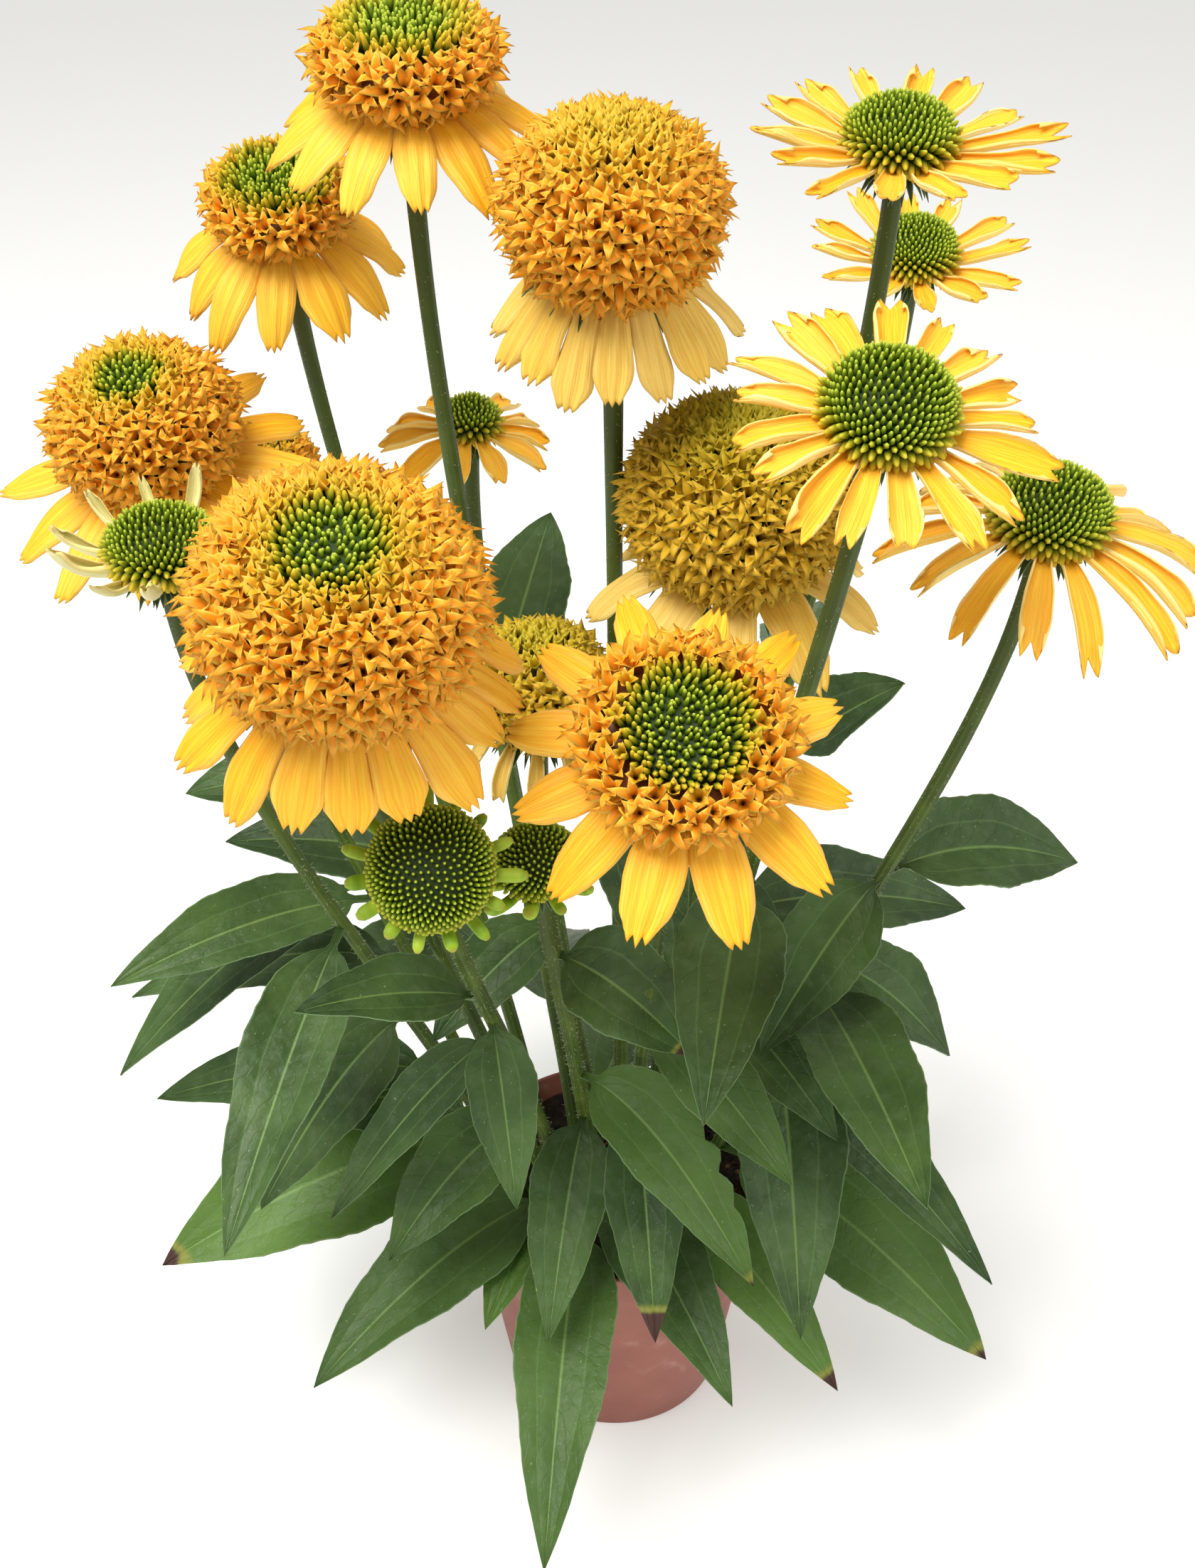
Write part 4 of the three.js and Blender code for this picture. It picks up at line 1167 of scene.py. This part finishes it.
def add_plant_stem(name, head, materials):
    """One stem with its hairs, cup, bracts and leaves."""
    shape = Shape()
    seed = ord(name)
    frame = head_frame(head)
    add_stem(shape, head, seed)
    start = len(shape.points)
    add_cup(shape, head, seed)
    shape.carry(frame, start)
    points = stem_points(head)
    for index, leaf in enumerate(LEAVES):
        if leaf[0] == name:
            add_leaf(shape, index, points)
    add_piece(f"leafy_stem_{name}", shape, materials, [f"stem_{name}"])


# Rays


def ray_course(head, k, seed, share):
    """Where a ray has got to at shares of its length: radius, height and slope."""
    rays = head["rays"]
    layer = RAY["layer"] if k % 2 == 0 else -RAY["layer"]
    length = rays["length"] * (1 + spread(k, seed, 0.12))
    start = math.radians(rays["start"] + 0.5 * layer)
    finish = math.radians(rays["end"] + layer + spread(k, seed + 2, 4))
    slope = start + (finish - start) * share
    bend = length / (finish - start)
    radius = CUP["hub"] * head["dome"][0] + bend * (np.sin(slope) - math.sin(start))
    height = bend * (math.cos(start) - np.cos(slope)) - GAP - RAY["hub"]
    return radius, height, slope


def ray_turn(head, k, seed):
    rays = head["rays"]
    return (k + spread(k, seed + 4, 0.03)) / rays["count"] * TURN + math.radians(rays.get("turn", 0))


def about_axis(points, angle):
    cosine, sine = math.cos(angle), math.sin(angle)
    return points @ np.array([[cosine, sine, 0], [-sine, cosine, 0], [0, 0, 1]])


def ray_section(head, k, seed, across, along, radius):
    """How far a ray's face reaches sideways and lifts, with its curled edges and its pleats."""
    rays = head["rays"]
    form = RAY_FORMS[rays["kind"]]
    breadth = np.interp(along, *zip(*form["rows"]))
    room = RAY["room"] * math.pi * radius / rays["count"] * form["widen"]
    half = breadth * rays["width"] / 2 * form["widen"] * (1 + spread(k, seed + 10, 0.14))
    half = np.minimum(half, room)
    curls = np.interp(along[:, 0], (0, 0.7), form["curl"]) * (1 + spread(k, seed + 7, 0.25))
    bend, rise = sections(across[0], curls, form["power"])
    sideways = half * bend + spread(k, seed + 12, 0.06) * rays["length"] * along**2
    lift = half * rise + form["pleat"] * np.cos(3 * math.pi * across) * np.clip(along * 3, 0, 1)
    lift = lift + 1.0 + 0.7 * np.sin(along * 8 + k) * across * np.clip(along * 2, 0, 1)
    return sideways, lift


def add_ray(shape, head, k, seed):
    rays = head["rays"]
    form = RAY_FORMS[rays["kind"]]
    across, along = np.meshgrid(np.linspace(-1, 1, RAY["columns"]), np.linspace(0, 1, RAY["rows"] + 1))
    short = np.interp(np.abs(across), *zip(*form["end"])) * (1 + spread(k, seed + 6, 0.5))
    radius, height, slope = ray_course(head, k, seed, along - short * along**7)
    sideways, lift = ray_section(head, k, seed, across, along, radius)
    heading = xyz(np.cos(slope), 0, np.sin(slope))
    lean = math.radians(spread(k, seed + 3, form["twist"])) * along
    side = turned(np.broadcast_to([0.0, 1.0, 0.0], heading.shape), heading, lean)
    normal = np.cross(heading, side)
    top = xyz(radius, 0, height) + side * sideways[..., None] + normal * lift[..., None]
    under = top - normal * RAY["sheet"]
    angle = ray_turn(head, k, seed)
    rolled = 0.12 if rays["kind"] == "broad" else 0.3 + 0.65 * draw(k, seed + 9)
    tint = (draw(k, seed + 8), rolled, 0)
    add_sheet(shape, about_axis(top, angle), about_axis(under, angle), xyz(across, along, 0), tint)


def add_bud_ray(shape, head, k, seed):
    """A young ray, still a stubby rolled finger."""
    share = np.linspace(0, 1, BUD_RAY["rows"])
    radius, height, slope = ray_course(head, k, seed, share * (0.72 + 0.27 * draw(k, seed + 11)))
    thick = head["rays"]["width"] / 2 * np.interp(share, *zip(*BUD_RAY["halves"]))
    thick = thick * (1 + spread(k, seed + 9, 0.15))
    angle = circle(BUD_RAY["sides"])
    furrow = 1 - 0.16 * bell(np.minimum(angle, TURN - angle), 0.5)
    normal = xyz(-np.sin(slope), 0, np.cos(slope))
    at = xyz(radius, 0, height + 0.8)
    size = (thick[:, None] * furrow)[..., None]
    side = np.array([0.0, 1.0, 0.0])
    rings = at[:, None] + size * (normal[:, None] * np.cos(angle)[None, :, None]
                                  + side * np.sin(angle)[None, :, None])
    place = np.broadcast_to(xyz(0, share[:, None], 0), rings.shape)
    add_tube(shape, about_axis(rings, ray_turn(head, k, seed)), place, (draw(k, seed + 8), 0, 0))


def add_hub(shape, head):
    """The thin disc that the rays stand on."""
    radius = CUP["hub"] * head["dome"][0]
    rings = lathe([(radius, -GAP - RAY["hub"]), (radius, -GAP)], CUP["sides"])
    add_tube(shape, rings, tint=(0.5, 0, 0))


def add_rays(name, head, materials):
    shape = Shape()
    seed = ord(name)
    add_hub(shape, head)
    add_one = add_bud_ray if head["rays"]["kind"] == "bud" else add_ray
    for k in range(head["rays"]["count"]):
        add_one(shape, head, k, seed)
    shape.carry(head_frame(head), 0)
    tone = head["rays"]["colour"]
    look = head["rays"].get("look", tone)
    add_piece(f"petals_{name}", shape, [materials[look]], [f"rays_{name}"])


# Florets, centres and cones


def dome_spots(count, sizes, highest, lowest, crowd=1.0):
    """Spots in a sunflower spiral over a dome, its outward directions there, and how low each spot is.

    A crowd above 1 sets them closer together towards the top.
    """
    side, up, low = sizes
    k = np.arange(count) + 0.5
    low_share = (k / count) ** crowd
    cosine = math.cos(highest) + (math.cos(lowest) - math.cos(highest)) * low_share
    sine = np.sqrt(np.maximum(0, 1 - cosine**2))
    turn = k * GOLDEN_ANGLE
    depth = np.where(cosine > 0, up, low)
    spots = xyz(side * sine * np.cos(turn), side * sine * np.sin(turn), depth * cosine)
    out = unit(spots / xyz(side, side, depth) ** 2)
    return spots, out, low_share


def add_core(shape, sizes, floor, top_cut=None):
    """The plain dome under the florets or spikes, cut flat at a height where top_cut gives one."""
    side, up, low = sizes
    lowest = math.acos(-min(1, floor / low))
    highest = 0.02 if top_cut is None else math.acos(min(1, top_cut / up))
    angle = np.linspace(lowest, highest, CORE["rows"])[:, None]
    turn = circle(CORE["sides"])[None]
    depth = np.where(np.cos(angle) > 0, up, low)
    x = side * np.sin(angle) * np.cos(turn)
    y = side * np.sin(angle) * np.sin(turn)
    z = floor + depth * np.cos(angle) + 0 * turn
    add_tube(shape, xyz(x, y, z))


def lobe_rings(root, waist, shoulder, beside, directions):
    """The rings of four points along a folded lobe: its two raised edges, its face and its back."""
    rings = []
    for middle, half, direction in zip((root, waist, shoulder), LOBE["halves"], directions):
        normal = unit(np.cross(beside, direction))
        edge = middle - normal * LOBE["fold"] * half
        face, back = (middle + normal * away for away in LOBE["sheet"])
        rings += [edge - beside * half, face, edge + beside * half, back]
    return rings


def floret_forms(count, seed, length, splay):
    """Tubular florets that open into a star of folded lobes, as copies by points by 3."""
    k = np.arange(count)
    lobes = LOBE["count"]
    angle = circle(lobes)
    points = []
    for radius, z in ((0.5, -LOBE["tube"]), (0.95, 0.0)):
        for a in angle:
            points.append(np.broadcast_to([radius * math.cos(a), radius * math.sin(a), z], (count, 3)))
    places = [(0, 0, 0)] * len(points)
    for lobe in range(lobes):
        a = angle[lobe] + TURN / lobes / 2 + spread(k, seed + lobe, 0.25)
        out = around(a)
        beside = xyz(-np.sin(a), np.cos(a), 0)
        size = (length * (1 + spread(k, seed + 10 + lobe, 0.2)))[:, None]
        opened = splay * (1 + spread(k, seed + 20 + lobe, 0.25))
        steps = [out * np.sin(turn)[:, None] + UP * np.cos(turn)[:, None]
                 for turn in (opened * 0.55, opened, opened * 1.35)]
        root = out * 0.55 - UP * 0.4
        waist = root + steps[0] * size * 0.36
        shoulder = waist + steps[1] * size * 0.3
        points += lobe_rings(root, waist, shoulder, beside, steps)
        points.append(shoulder + steps[2] * size * 0.42)
        for along in (0.2, 0.5, 0.8):
            places += [(1, along, 0), (0, along, 0), (1, along, 0), (0.4, along, 1)]
        places.append((0.6, 1, 0))
    return np.stack(points, axis=1), floret_faces(), np.array(places, float)


def floret_faces():
    """The faces of one floret: its tube, then two sleeves of four faces and a tip for each lobe."""
    lobes = LOBE["count"]
    quads = [(i, (i + 1) % lobes, lobes + (i + 1) % lobes, lobes + i) for i in range(lobes)]
    triangles = []
    for lobe in range(lobes):
        first = 2 * lobes + lobe * 13
        for ring in (first, first + 4):
            for i in range(4):
                after = (i + 1) % 4
                quads.append((ring + i, ring + after, ring + 4 + after, ring + 4 + i))
        triangles += [(first + 8 + i, first + 8 + (i + 1) % 4, first + 12) for i in range(4)]
    return [quads, triangles]


def add_florets(name, head, materials):
    shape = Shape()
    seed = ord(name)
    radius, up, low, sunk = head["dome"]
    tip = head["tip"]
    sizes = (radius - tip, up - tip, low - tip / 2)
    centre = head.get("centre")
    top_cut = seat_height(head) if centre else None
    add_core(shape, [size - CORE["depth"] for size in sizes], sunk, top_cut and top_cut - CORE["depth"])
    lowest = math.acos(-min(1, sunk / sizes[2]))
    highest = math.acos(min(1, top_cut / sizes[1])) if centre else 0.0
    rise = sizes[1] * math.cos(highest) - sizes[2] * math.cos(lowest)
    count = int(TURN * sizes[0] * rise * FLORET["density"])
    spots, out, low_share = dome_spots(count, sizes, highest, lowest, FLORET["crowd"])
    k = np.arange(count)
    opening = np.clip(FLORET["least_open"] + low_share * (6 if centre else 3), 0, 1)
    skirt = np.clip((low_share - FLORET["skirt_from"]) / (1 - FLORET["skirt_from"]), 0, 1)
    sideways = unit(out * [1, 1, 0] + 1e-6)
    aim = unit(out + UP * (0.5 * (1 - skirt) - 0.5 * skirt)[:, None] + sideways * (0.2 * skirt)[:, None])
    aim = unit(aim + jitter(k, seed + 1, FLORET["askew"]))
    length = tip * (1.05 + 0.45 * opening + 0.35 * skirt)
    splay = (0.12 + 0.66 * opening - 0.15 * skirt) * (1 + spread(k, seed + 5, 0.25))
    forms, faces, places = floret_forms(count, seed, length, splay)
    frames = frames_along(aim, TURN * draw(k, seed + 6))
    foot = spots + UP * sunk + aim * spread(k, seed + 7, 0.6)[:, None]
    points = forms @ frames + foot[:, None]
    tint = xyz(draw(k, seed + 8), low_share, 1 - opening)[:, None]
    shape.add_copies(points, faces, places[None], tint)
    shape.carry(head_frame(head), 0)
    florets = head.get("florets", dict(colour="orange"))
    tone = florets["colour"]
    look = florets.get("look", tone)
    add_piece(f"tuft_{name}", shape, [materials[look]], [f"florets_{name}"])


def seat_height(head):
    """The height above the widest place at which the florets are cut flat for the green centre."""
    radius, up = head["dome"][:2]
    share = (head["centre"][0] + 1) / (radius - head["tip"])
    return (up - head["tip"]) * math.sqrt(1 - share**2)


def spike_form(count, seed, length, thick, blunt):
    """Rice-shaped spikes, as copies by points by 3."""
    k = np.arange(count)
    sides = SPIKE_SIDES
    rows = (*SPIKE_ROWS, (1.0, blunt))
    ring = around(circle(sides))
    size = (length * (1 + spread(k, seed, 0.1)))[:, None, None]
    girth = np.broadcast_to(thick, (count,))[:, None, None]
    points = np.concatenate([ring * wide * girth + UP * share * size for share, wide in rows], axis=1)
    top = UP * size * 1.03 + 0 * girth
    points = np.concatenate([points, top], axis=1)
    last = (len(rows) - 1) * sides
    faces = [grid_faces(len(rows), sides, wrap=True), fan_faces(np.arange(sides) + last, last + sides)]
    places = np.zeros((points.shape[1], 3))
    places[:-1, 2] = np.repeat([share for share, _ in rows], sides)
    places[-1, 2] = 1
    return points, faces, places


def add_centre(name, head, material):
    """The green eye of a double head: a dense cushion of upright spikes, longer towards its edge."""
    shape = Shape()
    seed = ord(name)
    radius, height = head["centre"]
    count = int(radius**2 * EYE["density"])
    k = np.arange(count) + 0.5
    away = np.sqrt(k / count)
    turn = k * GOLDEN_ANGLE
    reach = (radius + 0.6) * away
    base = head["dome"][3] + seat_height(head) + GAP
    spots = xyz(reach * np.cos(turn), reach * np.sin(turn), base + 0.3)
    lean = EYE["lean"] * away**2
    aim = unit(xyz(lean * np.cos(turn), lean * np.sin(turn), 1))
    aim = unit(aim + jitter(k, seed + 4, EYE["askew"]))
    length = height * (EYE["length"] + EYE["longer"] * away**2) * (1 + spread(k, seed + 3, 0.14))
    thick = EYE["thick"] + EYE["plump"] * away
    forms, faces, places = spike_form(count, seed, length, thick, EYE["blunt"])
    points = forms @ frames_along(aim, k) + spots[:, None]
    ripe = np.clip((away - 0.55) * 2.2, 0, 1)
    tint = xyz(draw(np.arange(count), seed + 1), ripe, 0)[:, None]
    add_core(shape, (radius - 1, 1.2, 0.6), base + 0.6)
    shape.add_copies(points, faces, places[None], tint)
    shape.carry(head_frame(head), 0)
    add_piece(f"eye_{name}", shape, [material], [f"centre_{name}"])


def add_cone(name, head, material):
    """The domed cone of a single head: spikes all over it, or the dots of a bud."""
    shape = Shape()
    seed = ord(name)
    radius, up, low, sunk = head["dome"]
    form = CONES[head["cone"]]
    stand = form["stand"]
    sizes = (radius - stand - 0.6, up - stand, low - stand / 2)
    lowest = math.acos(-min(1, sunk / sizes[2]))
    add_core(shape, sizes, sunk)
    rise = sizes[1] - sizes[2] * math.cos(lowest)
    count = int(TURN * sizes[0] * rise * form["density"])
    spots, out, low_share = dome_spots(count, sizes, 0.0, lowest)
    k = np.arange(count)
    outer = np.clip((low_share - 0.5) / 0.3, 0, 1)
    aim = unit(out * (0.55 + 0.6 * outer)[:, None] + UP * (form["upright"] * (1 - 0.6 * outer))[:, None])
    length = form["length"] * (0.8 + 0.15 * low_share + 0.25 * outer)
    thick = form["thick"] * (0.8 + 0.25 * low_share + form["plump"] * outer)
    forms, faces, places = spike_form(count, seed, length, thick, form["blunt"])
    points = forms @ frames_along(aim, k * 1.0) + (spots + UP * sunk - out * 0.8)[:, None]
    tint = xyz(draw(k, seed + 1) * 0.8, form["ripe"] * outer, 0)[:, None]
    shape.add_copies(points, faces, places[None], tint)
    shape.carry(head_frame(head), 0)
    add_piece(f"knob_{name}", shape, [material], [f"cone_{name}"])


# Floor, light and camera


def add_floor():
    mesh = bpy.data.meshes.new("floor")
    half = FLOOR["half"]
    corners = [(-half, -half, 0), (half, -half, 0), (half, half, 0), (-half, half, 0)]
    mesh.from_pydata(corners, [], [(0, 1, 2, 3)])
    mesh.materials.append(floor_material())
    floor = bpy.data.objects.new("floor", mesh)
    bpy.context.scene.collection.objects.link(floor)


def add_lamp(name, place, size, power):
    light = bpy.data.lights.new(name, "AREA")
    light.size = size
    light.energy = power
    lamp = bpy.data.objects.new(name, light)
    lamp.location = place
    toward = np.array(LAMP_AIM) - np.array(place)
    flat = math.hypot(toward[0], toward[1])
    lamp.rotation_euler = (math.atan2(flat, -toward[2]), 0, math.atan2(-toward[0], toward[1]))
    bpy.context.scene.collection.objects.link(lamp)


def add_lights():
    for name, lamp in LAMPS.items():
        add_lamp(name, **lamp)
    world = bpy.data.worlds.new("studio")
    world.use_nodes = True
    background = world.node_tree.nodes["Background"]
    background.inputs["Color"].default_value = colour(*SKY["tint"])
    background.inputs["Strength"].default_value = SKY["strength"]
    bpy.context.scene.world = world
    bpy.context.scene.view_settings.view_transform = "Standard"


def add_camera():
    camera = bpy.data.cameras.new("photo_camera")
    camera.lens = LENS
    camera.sensor_width = SENSOR
    holder = bpy.data.objects.new("photo_camera", camera)
    holder.location = [value * MM for value in CAMERA_PLACE]
    holder.rotation_euler = (math.radians(90 - CAMERA_PITCH), 0, 0)
    bpy.context.scene.collection.objects.link(holder)
    bpy.context.scene.camera = holder


# The whole plant

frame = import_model()

green = [stem_material(), leaf_material(), hair_material()]
ray_materials = {tone: ray_material(tone) for tone in RAY_COLOURS}
floret_materials = {tone: floret_material(tone) for tone in FLORET_COLOURS}
spikes = spike_material()

add_pot(pot_material())
add_soil(soil_material())

for letter, bloom in HEADS.items():
    add_plant_stem(letter, bloom, green)
    if "rays" in bloom:
        add_rays(letter, bloom, ray_materials)
    if "cone" in bloom:
        add_cone(letter, bloom, spikes)
    else:
        add_florets(letter, bloom, floret_materials)
    if "centre" in bloom:
        add_centre(letter, bloom, spikes)

add_floor()
add_lights()
add_camera()
